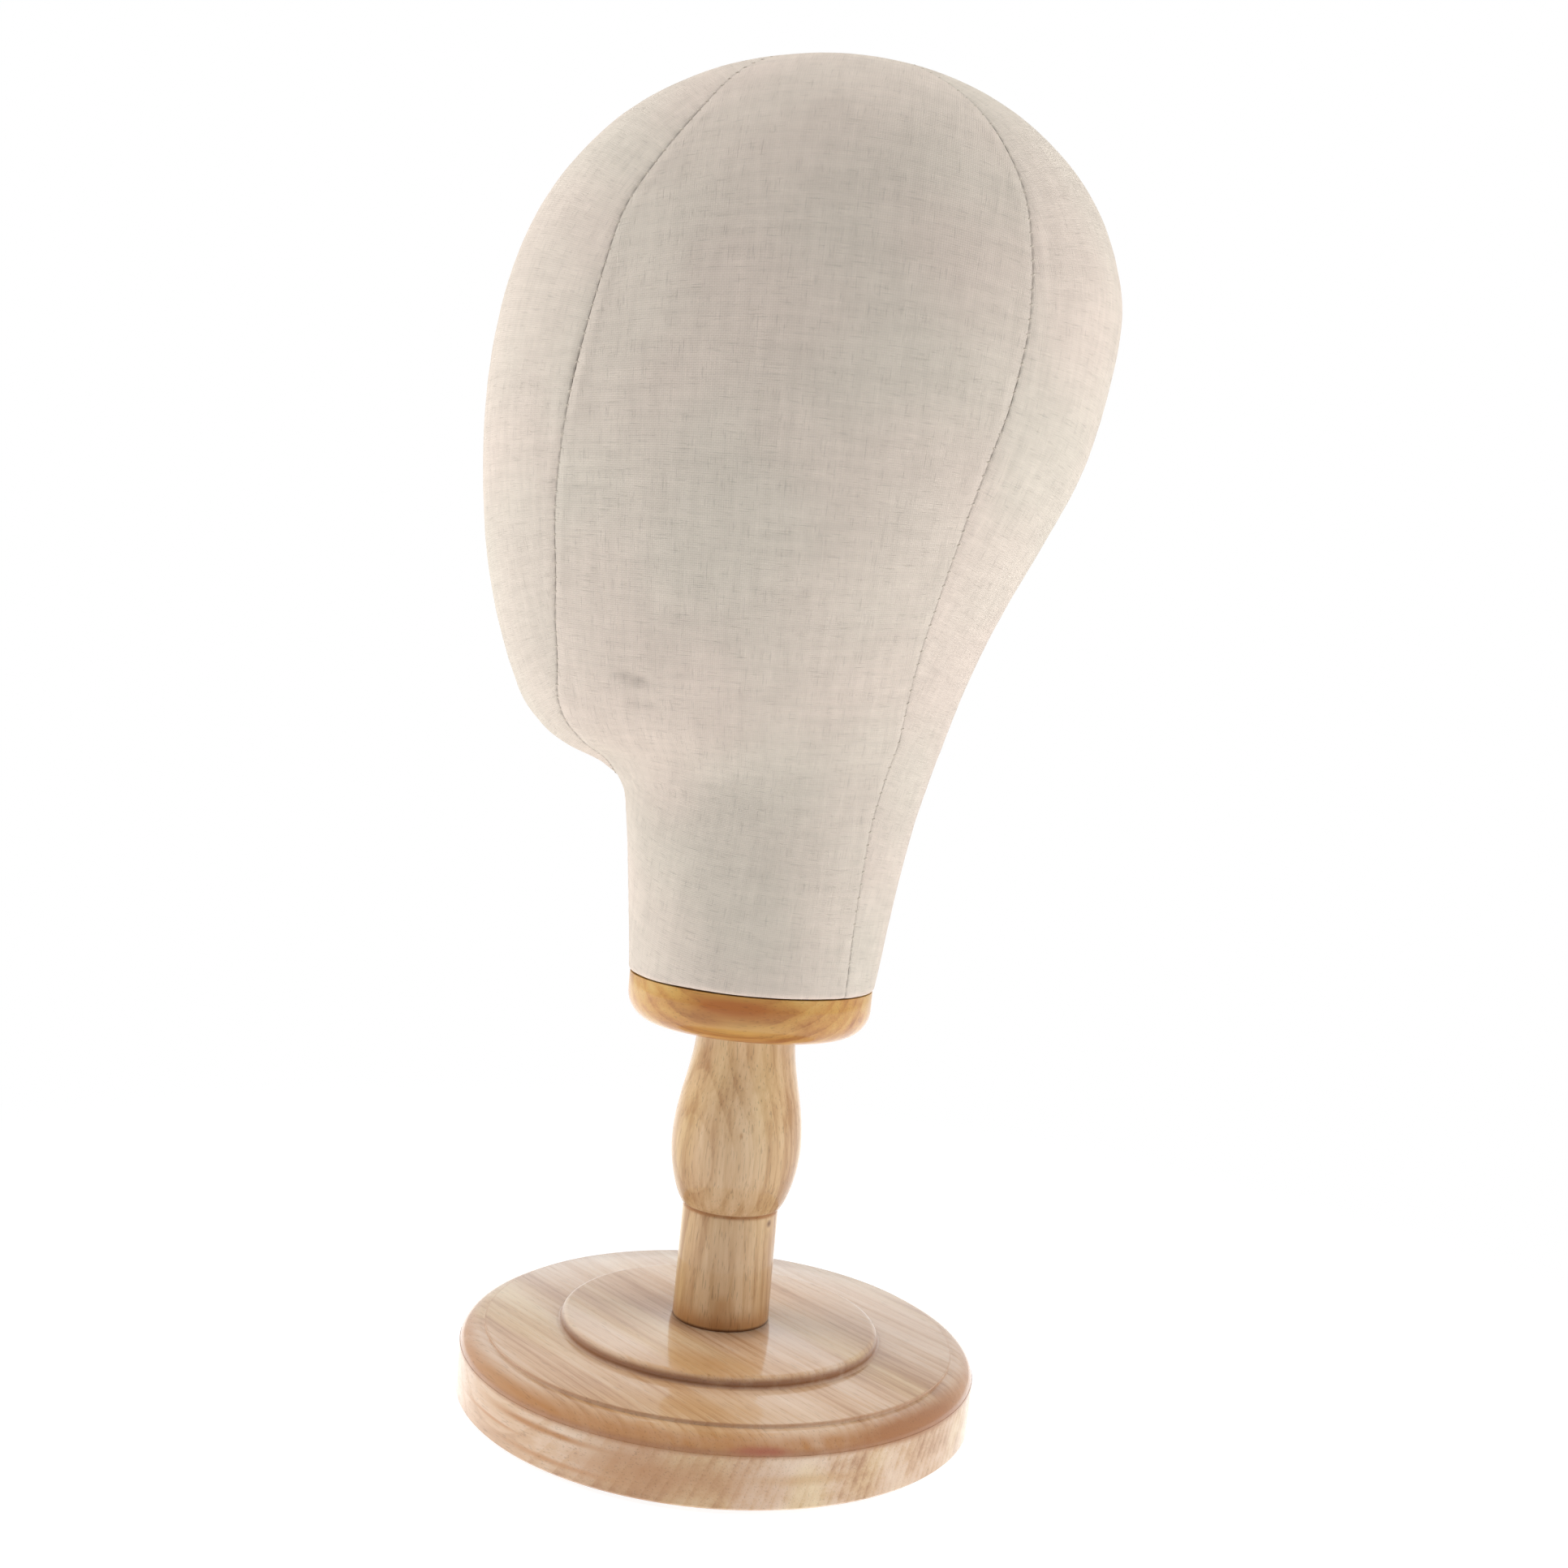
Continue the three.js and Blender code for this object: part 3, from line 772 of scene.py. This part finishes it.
def crowded(count, extra, reach):
    """Fractions from 0 to 1 that stand closer together at both ends."""
    place = np.linspace(0, 1, 4001)
    weight = np.cumsum(1 + extra * (np.exp(-place / reach) + np.exp(-(1 - place) / reach)))
    weight = (weight - weight[0]) / (weight[-1] - weight[0])
    return np.interp(np.linspace(0, 1, count), weight, place)


def along_chart(line, fractions):
    """Points of a line in the skin's chart, at fractions of its real length."""
    travelled = lengths(skin(line[:, 0], line[:, 1]))
    return points_at(line, travelled, fractions * travelled[-1])


def side_grid():
    """The left panel's points in rows from the rim up, each row from the front to the back."""
    half_gap = SEAM_GAP / 2
    ovals = catmull(OVALS, throat_rows)
    throat = np.stack([throat_rows, FRONT + half_gap / (ovals[:, 4] * (1 - ovals[:, 5]))], -1)
    seam = chart_of(on_skin(seam_steps, np.ones(SEAM_SAMPLES), half_gap))
    first, last = (np.searchsorted(seam_steps, corner)
                   for corner in (PANEL_FRONT_CORNER, PANEL_BACK_CORNER))
    seam[-1, 0] = 0
    front_edge = np.vstack([throat[:-1], seam[:first + 1]])
    back_edge = seam[last:][::-1]
    rows = crowded(PANEL_ROWS, extra=4, reach=0.012)
    columns = crowded(PANEL_COLUMNS, extra=6, reach=0.018)
    bottom = throat[0] + np.linspace(0, 1, EDGE_POINTS)[:, None] * (seam[-1] - throat[0])
    left, right = along_chart(front_edge, rows), along_chart(back_edge, rows)
    low, high = along_chart(bottom, columns), along_chart(seam[first:last + 1], columns)
    q, r = columns[None, :, None], rows[:, None, None]
    chart = ((1 - q) * left[:, None] + q * right[:, None] + (1 - r) * low[None] + r * high[None]
             - (1 - q) * (1 - r) * low[0] - q * (1 - r) * low[-1]
             - (1 - q) * r * high[0] - q * r * high[-1])
    return skin(chart[..., 0], chart[..., 1])


def strip_grid():
    """The centre strip's points in rows from the throat over the crown to the back of the rim."""
    travelled = lengths(left_seam)
    places = np.linspace(STRIP_START, travelled[-1], STRIP_ROWS)
    along = np.interp(places, travelled, seam_steps)
    across = crowded(STRIP_COLUMNS, extra=5, reach=0.025) * 2 - 1
    return on_skin(*np.broadcast_arrays(along[:, None], across[None, :]), -SEAM_GAP / 2)


def waves(points, length, seed):
    """Soft unevenness from -1 to 1 with bumps about this long, the same on each run."""
    random = np.random.default_rng(seed)
    total = np.zeros(points.shape[:-1])
    count = 14
    for _ in range(count):
        direction = random.normal(size=3)
        direction *= 2 * math.pi / length / np.linalg.norm(direction) * random.uniform(0.6, 1.4)
        total += np.sin(points @ direction + random.uniform(0, 2 * math.pi))
    return total / math.sqrt(count * 2)


def seam_places(points, lines):
    """Each point's distance from the nearest sewing line, and how far along it that is."""
    travelled = np.concatenate([np.arange(len(line)) * SEAM_SPACING for line in lines])
    index, distance = nearest(np.concatenate(lines), points.reshape(-1, 3))
    return distance.reshape(points.shape[:-1]), travelled[index].reshape(points.shape[:-1])


def seam_strength(points):
    """1 below the crown, fading to almost nothing at it, and faint down the back of the neck."""
    share = (points[..., 2] - RIM_Z) / HEAD_HEIGHT
    nape = np.where(points[..., 1] > 0, np.interp(share, *NAPE_SEAM), 1)
    return np.interp(share, SEAM_FADE, (1, 0.05)) * nape


def hollow_depth(points, hollows):
    """How deep the small hollows are at each point."""
    depth = np.zeros(points.shape[:-1])
    for y, z, radius, deepest, longer in hollows:
        along = (points[..., 1] / MM - y) / (radius * longer)
        up = (points[..., 2] / MM - z) / radius
        depth += deepest * MM * np.exp(-along**2 - up**2)
    return depth


def stitch_wave(along):
    """1 at each stitch, and -1 halfway between two."""
    return np.cos(2 * math.pi * along / STITCH_PITCH)


def relief(points, distance, along, seed, hollows):
    """How far the sewn cloth stands out from the smooth form."""
    stitch = 0.5 + 0.5 * stitch_wave(along)
    rough = np.exp(-((points[..., 2] - ROUGH_Z) / ROUGH_REACH) ** 2) * (points[..., 1] < 0)
    pull = 1 + PULL_CHANGE * waves(points, PULL_WAVE, seed) + ROUGH_PULL * rough
    pull *= seam_strength(points)
    valley = SEAM_DEPTH * (1 - 0.5 * stitch) * np.exp(-(distance / SEAM_WIDTH) ** 2) * pull
    allowance = ALLOWANCE_RISE * np.exp(-((distance - ALLOWANCE_PLACE) / ALLOWANCE_WIDTH) ** 2)
    pucker = PUCKER_RISE * (stitch * 2 - 1) * np.exp(-distance / PUCKER_REACH) * pull
    pucker *= 1 - np.exp(-(distance / MM) ** 2)
    slack = SLACK_RISE * waves(points, SLACK_WAVE, seed + 1)
    slack += RIPPLE_RISE * waves(points, RIPPLE_WAVE, seed + 2)
    slack *= 1 - np.exp(-(distance / SLACK_CLEAR) ** 2)
    return slack + allowance * pull - valley - pucker - hollow_depth(points, hollows)


def face_corners(mesh):
    """The vertex at each corner of each face."""
    corners = np.empty(len(mesh.loops), int)
    mesh.loops.foreach_get("vertex_index", corners)
    return corners


def flat_cut(grid, guide):
    """The panel laid flat in metres with its threads along the guide, and its area."""
    rows = np.unique(np.append(np.arange(0, grid.shape[0], PATTERN_STEP), grid.shape[0] - 1))
    columns = np.unique(np.append(np.arange(0, grid.shape[1], PATTERN_STEP), grid.shape[1] - 1))
    coarse = grid[np.ix_(rows, columns)]
    pattern = new_object("pattern", cloth_mesh("pattern", coarse))
    select_only(pattern)
    pattern.data.uv_layers.new(name="cut")
    bpy.ops.object.mode_set(mode="EDIT")
    bpy.ops.mesh.select_all(action="SELECT")
    bpy.ops.uv.unwrap(method="ANGLE_BASED", margin=0)
    bpy.ops.object.mode_set(mode="OBJECT")
    mesh = pattern.data
    unwrapped = np.empty(len(mesh.loops) * 2)
    mesh.uv_layers["cut"].data.foreach_get("uv", unwrapped)
    flat = np.empty((len(mesh.vertices), 2))
    flat[face_corners(mesh)] = unwrapped.reshape(-1, 2)
    bpy.data.objects.remove(pattern)
    flat = flat.reshape(*coarse.shape[:2], 2)
    a, b = flat[1:, 1:] - flat[:-1, :-1], flat[1:, :-1] - flat[:-1, 1:]
    flat_area = np.abs(a[..., 0] * b[..., 1] - a[..., 1] * b[..., 0]).sum() / 2
    a, b = coarse[1:, 1:] - coarse[:-1, :-1], coarse[1:, :-1] - coarse[:-1, 1:]
    area = np.linalg.norm(np.cross(a, b), axis=-1).sum() / 2
    flat = (flat - flat.mean((0, 1))) * math.sqrt(area / flat_area)
    towards = guide[np.ix_(rows, columns)]
    towards = towards - towards.mean((0, 1))
    u, _, v = np.linalg.svd(flat.reshape(-1, 2).T @ towards.reshape(-1, 2))
    flat = flat @ (u @ v)
    flat -= flat.min((0, 1))
    for axis, known in enumerate((rows, columns)):
        every = np.arange(grid.shape[axis])
        flat = np.apply_along_axis(lambda values: np.interp(every, known, values), axis, flat)
    return flat, area


def cloth_mesh(name, grid):
    index = np.arange(grid.shape[0] * grid.shape[1]).reshape(grid.shape[:2])
    faces = np.stack([index[:-1, :-1], index[:-1, 1:], index[1:, 1:], index[1:, :-1]], -1)
    mesh = bpy.data.meshes.new(name)
    mesh.from_pydata(grid.reshape(-1, 3).tolist(), [], faces.reshape(-1, 4).tolist())
    return mesh


def sewn_panel(name, grid, guide, lines, seed, hollows=()):
    """A panel of the cover with its seams, puckers and hem, its cut's size and its area."""
    cut, area = flat_cut(grid, guide)
    outward = np.cross(np.gradient(grid, axis=1), np.gradient(grid, axis=0))
    outward /= np.linalg.norm(outward, axis=-1, keepdims=True)
    distance, along = seam_places(grid, lines)
    height = grid[..., 2] - RIM_Z
    turn = np.clip(1 - height / HEM_ROUNDING, 0, 1)
    out = relief(grid, distance, along, seed, hollows)
    out += HEM_PROUD * np.exp(-height / HEM_PROUD_REACH)
    out -= HEM_TURN * (1 - np.sqrt(1 - 0.98 * turn**2))
    points = grid + outward * out[..., None]
    lift = 0.5 + 0.5 * waves(grid * [1, 1, 0], HEM_GAP_WAVE, seed + 3)
    lift = HEM_GAP + HEM_GAP_RISE * lift
    points[..., 2] += lift * np.clip(1 - height / HEM_GAP_REACH, 0, 1)
    panel = new_object(name, cloth_mesh(name, points))
    mesh = panel.data
    layer = mesh.uv_layers.new(name="cut")
    layer.data.foreach_set("uv", cut.reshape(-1, 2)[face_corners(mesh)].ravel())
    # The seam attribute is painted shade: along each seam's valley, dashed by the stitches, and in
    # the hollows
    line = np.exp(-(distance / SEAM_SHADE_WIDTH) ** 2) * np.interp(stitch_wave(along), *SEAM_SHADE_DASHES)
    line *= seam_strength(points)
    line += hollow_depth(grid, hollows) / MM * HOLLOW_SHADE
    # The hem attribute marks the band that is painted paler as a highlight on the hem's folded edge
    for label, values in (("seam", line), ("hem", np.interp(height, HEM_HIGHLIGHT_BAND, (1, 0)))):
        mesh.attributes.new(label, "FLOAT", "POINT").data.foreach_set("value", values.ravel())
    select_only(panel)
    modified(panel, "SOLIDIFY", thickness=CANVAS, offset=-1)
    bpy.ops.object.shade_smooth_by_angle(angle=CLOTH_SMOOTHING)
    return panel, tuple(np.ptp(cut.reshape(-1, 2), axis=0)), area


def one_stitch():
    """A short arched thread along X, thin where it enters the cloth."""
    # along the stitch, above the cloth, and how thick it is there
    places = [(-1, -1.4, 0.5), (-0.8, -0.3, 0.9), (-0.4, 0.35, 1), (0, 0.5, 1), (0.4, 0.35, 1),
              (0.8, -0.3, 0.9), (1, -1.4, 0.5)]
    start, sunk, thin = places[0]
    deselect()
    bpy.ops.mesh.primitive_circle_add(vertices=6, radius=STITCH_RADIUS * thin, fill_type="NGON",
                                      rotation=(0, math.pi / 2, 0))
    stitch = bpy.context.object
    bpy.ops.object.transform_apply()
    bpy.ops.object.mode_set(mode="EDIT")
    bpy.ops.transform.translate(value=(start * STITCH_REACH, 0, sunk * STITCH_RADIUS))
    for (x, z, size), (next_x, next_z, next_size) in zip(places, places[1:]):
        bpy.ops.mesh.extrude_region_move(TRANSFORM_OT_translate={
            "value": ((next_x - x) * STITCH_REACH, 0, (next_z - z) * STITCH_RADIUS)})
        bpy.ops.transform.resize(value=(next_size / size,) * 3)
    bpy.ops.mesh.select_all(action="SELECT")
    bpy.ops.mesh.normals_make_consistent(inside=False)
    bpy.ops.object.mode_set(mode="OBJECT")
    return stitch


def stitches(name, pattern, lines):
    """Copies of one stitch across the sewing lines."""
    shape = np.array([vertex.co for vertex in pattern.data.vertices])
    faces = [list(face.vertices) for face in pattern.data.polygons]
    random = np.random.default_rng(SEED)
    points, polygons = [], []
    for line in lines:
        last = (len(line) - 1) * SEAM_SPACING - STITCH_MARGIN
        for place in np.arange(STITCH_PITCH, last, STITCH_PITCH):
            at, after = (Vector(line[int(spot / SEAM_SPACING)])
                         for spot in (place, place + STITCH_AIM))
            if at.z > RIM_Z + HEAD_HEIGHT * SEAM_FADE[1]:
                continue
            along = (after - at).normalized()
            out = SKIN_TREE.find_nearest(at)[1]
            if out.dot(at - Vector((0, 0, min(at.z, RIM_Z + HEAD_HEIGHT * 0.6)))) < 0:
                out = -out
            slant = random.uniform(*STITCH_SLANT)
            across = (along.cross(out) + along * slant).normalized()
            turn = Matrix((across, out.cross(across).normalized(), out)).transposed()
            middle = at - out * STITCH_SUNK
            polygons += [[corner + len(points) for corner in face] for face in faces]
            points += [tuple(middle + turn @ Vector(corner)) for corner in shape]
    mesh = bpy.data.meshes.new(name)
    mesh.from_pydata(points, [], polygons)
    mesh.polygons.foreach_set("use_smooth", [True] * len(mesh.polygons))
    return new_object(name, mesh)


# Studio
def area_lamp(name, at, watts):
    """A square lamp that looks at the head and isn't mirrored in the lacquer."""
    lamp = bpy.data.lights.new(name, "AREA")
    lamp.shape = "RECTANGLE"
    lamp.size = lamp.size_y = LAMP_SIZE
    lamp.energy = watts
    holder = new_object(name, lamp)
    holder.location = at
    holder.rotation_euler = (LAMP_TARGET - Vector(at)).to_track_quat("-Z", "Y").to_euler()
    holder.visible_glossy = False


def studio():
    world = bpy.data.worlds.new("White room")
    bpy.context.scene.world = world
    world.use_nodes = True
    world.node_tree.nodes.clear()
    wires = Wire(world.node_tree)
    path = wires.node("ShaderNodeLightPath")
    seen = path.part("Is Camera Ray").maths("MAXIMUM", path.part("Is Transmission Ray"))
    seen = seen.maths("MAXIMUM", path.part("Is Glossy Ray"))
    level = seen * (1 - ROOM_LIGHT) + ROOM_LIGHT
    room = wires.node("ShaderNodeBackground", None, {"Color": (1, 1, 1, 1), "Strength": level})
    wires.node("ShaderNodeOutputWorld", None, {"Surface": room}, None)

    material, wires = new_material("White paper floor")
    place = wires.node("ShaderNodeTexCoord").part("Object")
    path = wires.node("ShaderNodeLightPath")
    seen = path.part("Is Camera Ray") * (place.length().step(0.1, 0.45) * 0.25 + 0.75)
    paper = wires.node("ShaderNodeBsdfDiffuse", None, {"Color": (0.85, 0.85, 0.85, 1)})
    # The light that a big sheet of lit paper throws back up
    glow = wires.node("ShaderNodeEmission", None, {"Color": (1, 1, 1, 1), "Strength": FLOOR_GLOW})
    paper = wires.node("ShaderNodeAddShader", None, {0: paper, 1: glow})
    white = wires.node("ShaderNodeEmission", None, {"Color": (1, 1, 1, 1), "Strength": 1.0})
    both = wires.node("ShaderNodeMixShader", None, {0: seen, 1: paper, 2: white})
    wires.node("ShaderNodeOutputMaterial", None, {"Surface": both}, None)
    deselect()
    bpy.ops.mesh.primitive_circle_add(vertices=96, radius=FLOOR_RADIUS, fill_type="NGON")
    floor = bpy.context.object
    floor.name = "floor"
    floor.data.materials.append(material)

    for lamp in LAMPS:
        area_lamp(*lamp)


def camera():
    """Looks at the head's left side and a little down, rolled as the photo's camera was."""
    ahead = Vector((-math.cos(CAMERA_TILT), 0, -math.sin(CAMERA_TILT)))
    level = Vector((0, 1, 0))
    upright = Vector((-math.sin(CAMERA_TILT), 0, math.cos(CAMERA_TILT)))
    right = math.cos(CAMERA_ROLL) * level + math.sin(CAMERA_ROLL) * upright
    up = math.cos(CAMERA_ROLL) * upright - math.sin(CAMERA_ROLL) * level
    view = bpy.data.cameras.new("camera")
    view.sensor_width = SENSOR
    view.lens = LENS
    view.clip_start = 0.01
    holder = new_object("camera", view)
    place = Vector((0, 0, CAMERA_HEIGHT)) - ahead * CAMERA_DISTANCE + level * CAMERA_ASIDE
    turn = Matrix((right, up, -ahead)).transposed().to_4x4()
    holder.matrix_world = Matrix.Translation(place) @ turn
    bpy.context.scene.camera = holder
    bpy.context.scene.view_settings.view_transform = "Standard"


# Making the piece
def make_stand(steel):
    wood = grown_wood(
        "Lacquered base wood",
        ((0.1, (0.39, 0.205, 0.1)), (0.38, (0.57, 0.375, 0.23)), (0.6, (0.65, 0.475, 0.34)),
         (0.9, (0.72, 0.565, 0.43))),
        turn=(0, 0, math.radians(40)), heart=(-0.09, 0.107, -0.05), ring=0.0026, streak=-0.16,
        pores=0.2, coat=1.0, grain=0.8, marks=[
            ((79, -14, 9), (12, 52, 12), 0.8, (0.43, 0.21, 0.085)),
            # Partly painted shade, partly darker grain: a darker band all round the rim's rounding,
            # where light falls weakly
            ((80.3, 18.4), (6.6, 4.4), 0.85, (0.42, 0.185, 0.055)),
            ((54, 60, 18.2), (40, 34, 4), 1.4, (0.34, 0.135, 0.04)),
            # Painted shade and reflection: darker and deeper orange in front of the stem, where it
            # shades the step and is mirrored in the lacquer
            ((44, -2, 24), (20, 44, 5), 0.75, (0.46, 0.23, 0.065)),
            ((66, -2, 21), (16, 60, 3), 0.6, (0.5, 0.27, 0.09)),
            ((66, -46, 12.6), (24, 40, 1.6), 1.1, (0.42, 0.19, 0.06)),
            ((50, -66, 8.2), (24, 30, 0.8), 0.8, (0.44, 0.2, 0.07)),
            ((66, -40, 4.9), (24, 34, 1.3), 0.8, (0.46, 0.22, 0.08)),
            ((76, 30, 9.5), (12, 34, 2.4), 0.5, (0.5, 0.28, 0.11)),
            # Partly painted shade, partly darker grain: a dark line round the top of the side, at the
            # foot of the rounding
            ((81.8, 16.8), (1.6, 1.7), 0.7, (0.32, 0.13, 0.045)),
            # Painted shade on the step's side, over its cove
            ((51.1, 23.5), (1.8, 2.6), 1.0, (0.27, 0.11, 0.035)),
            # Painted shadow in the quirk at the flat ring's outer edge
            ((74.6, 21.7), (0.8, 0.9), 0.7, (0.4, 0.18, 0.06)),
            ((81, 16.8, 17.6), (6, 14, 2), 1.0, (0.34, 0.095, 0.045)),
        ])
    base = turned("base_turning", base_profile(), closed=True, edge=BASE_SOFTENING)
    finish_piece(base, "stand", "base_wood", wood, "base_disc")
    wood = grown_wood(
        "Lacquered stem wood",
        ((0.1, (0.42, 0.235, 0.11)), (0.38, (0.58, 0.385, 0.215)), (0.6, (0.67, 0.48, 0.295)),
         (0.9, (0.75, 0.57, 0.38))),
        turn=(0, math.radians(-86), 0), heart=(-0.08, 0.06, 0), ring=0.0031, streak=-0.14,
        pores=0.25, coat=0.45, marks=[
            # Painted reflection and shade: the base's orange thrown onto the foot's lower end
            ((15.5, 26), (3, 8), 0.75, (0.44, 0.21, 0.07)),
            # Painted shadow where the foot meets the step
            ((15.5, 25.8), (0.8, 1), 1.0, (0.14, 0.06, 0.02)),
            # Painted shade in the crease between the foot and the bulb
            ((14.9, 61.6), (1, 1.3), 0.8, (0.4, 0.18, 0.06)),
            ((15.5, 0.5, 33.7), (4, 5, 5), 0.4, (0.46, 0.22, 0.07)),
            ((20.4, 1.5, 88.9), (1.2, 0.8, 1.6), 0.6, (0.4, 0.2, 0.08)),
            ((19.7, 5.7, 103), (5, 4, 2.6), 0.45, (0.44, 0.24, 0.09)),
            ((8.6, 12.9, 59), (1.9, 1.6, 1.7), 0.9, (0.22, 0.11, 0.05)),
        ])
    stem = turned("stem_turning", stem_profile())
    finish_piece(stem, "stand", "stem_wood", wood, "stem")
    felt = turned("felt_disc", felt_profile(), edge=FELT_SOFTENING)
    finish_piece(felt, "stand", "felt", wool_felt(), "base_felt")
    for node in ("screw_washer", "stem_screw"):
        finish_solid(node, steel)


def make_peg(dowel_wood):
    peg = turned("dowel", peg_profile(), sides=SMALL_SIDES, edge=0)
    finish_piece(peg, "peg", "dowel_wood", dowel_wood, "peg")


def make_head_fittings(steel, dowel_wood):
    wood = grown_wood(
        "Lacquered plate wood",
        ((0.1, (0.34, 0.135, 0.035)), (0.38, (0.48, 0.23, 0.063)), (0.6, (0.54, 0.295, 0.084)),
         (0.9, (0.585, 0.36, 0.12))),
        turn=(0, 0, math.radians(80)), heart=(0.2, 0, 0.24), ring=0.0045, streak=-0.2,
        pores=0.2, coat=0.6, marks=[
            ((38.5, 2, 125), (10, 30, 4), 0.7, (0.57, 0.33, 0.1)),
            ((39, -5, 131), (9, 29, 5), 1.1, (0.38, 0.12, 0.018)),
            ((37.1, -12, 127), (6, 9, 3), 0.7, (0.36, 0.14, 0.03)),
        ])
    plate = turned("neck_plate_turning", plate_profile(), closed=True)
    circle = (screw_low.y + screw_high.y) / 2
    under, over = SHOULDER_Z - MM, RIM_Z + MM
    head, shank = SCREW_HEAD_RADIUS + SLIP, SCREW_RADIUS + SLIP
    hole = [(0, under), (head, under), (head, SHOULDER_Z), (shank, SHOULDER_Z + SCREW_HEAD_HEIGHT),
            (shank, over), (0, over)]
    for i in range(SCREW_COUNT):
        angle = math.pi / 2 + 2 * math.pi * i / SCREW_COUNT
        spot = (circle * math.cos(angle), circle * math.sin(angle))
        drilled(plate, turned("drill", hole, sides=SMALL_SIDES, at=spot, edge=0))
        finish_solid(f"plate_screw_{i + 1}", steel)
    finish_piece(plate, "head", "plate_wood", wood, "neck_plate")
    finish_solid("neck_block", dowel_wood)
    finish_solid("head_core", pressed_cork())


def make_cover():
    canvas = linen_canvas()
    side = side_grid()
    strip = strip_grid()
    along = np.broadcast_to(lengths(strip[:, STRIP_COLUMNS // 2])[:, None], strip.shape[:2])
    pieces = [
        ("left_panel", "canvas_left", side, side[..., 1:], [LEFT_LINE, THROAT_LINE], CHEEK_HOLLOWS),
        ("right_panel", "canvas_right", side[:, ::-1] * MIRROR, (side * [1, -1, 1])[:, ::-1, 1:],
         [RIGHT_LINE, THROAT_LINE], ()),
        ("centre_strip", "canvas_centre", strip, np.stack([strip[..., 0], along], -1),
         [LEFT_LINE, RIGHT_LINE], ()),
    ]
    pattern = one_stitch()
    thread = stitches("seam_stitches", pattern, [LEFT_LINE, RIGHT_LINE, THROAT_LINE])
    bpy.data.objects.remove(pattern)
    finish_piece(thread, "head", "canvas", sewing_thread())
    for i, (name, node, grid, guide, lines, hollows) in enumerate(pieces):
        panel, cut, area = sewn_panel(name, grid, guide, lines, SEED + 10 * i, hollows)
        finish_piece(panel, "head", "canvas", canvas, node)
        [thread] if name == "centre_strip" else []


steel = brushed_steel()
dowel_wood = grown_wood(
    "Dowel birch",
    ((0.1, (0.46, 0.3, 0.15)), (0.4, (0.6, 0.44, 0.25)), (0.62, (0.68, 0.52, 0.33)),
     (0.9, (0.74, 0.6, 0.42))),
    turn=(0, math.radians(-89), 0), heart=(0.03, 0.05, 0), ring=0.0034, streak=-0.2, pores=0.2,
    coat=0.0)
camera()
studio()
make_stand(steel)
make_peg(dowel_wood)
make_head_fittings(steel, dowel_wood)
make_cover()
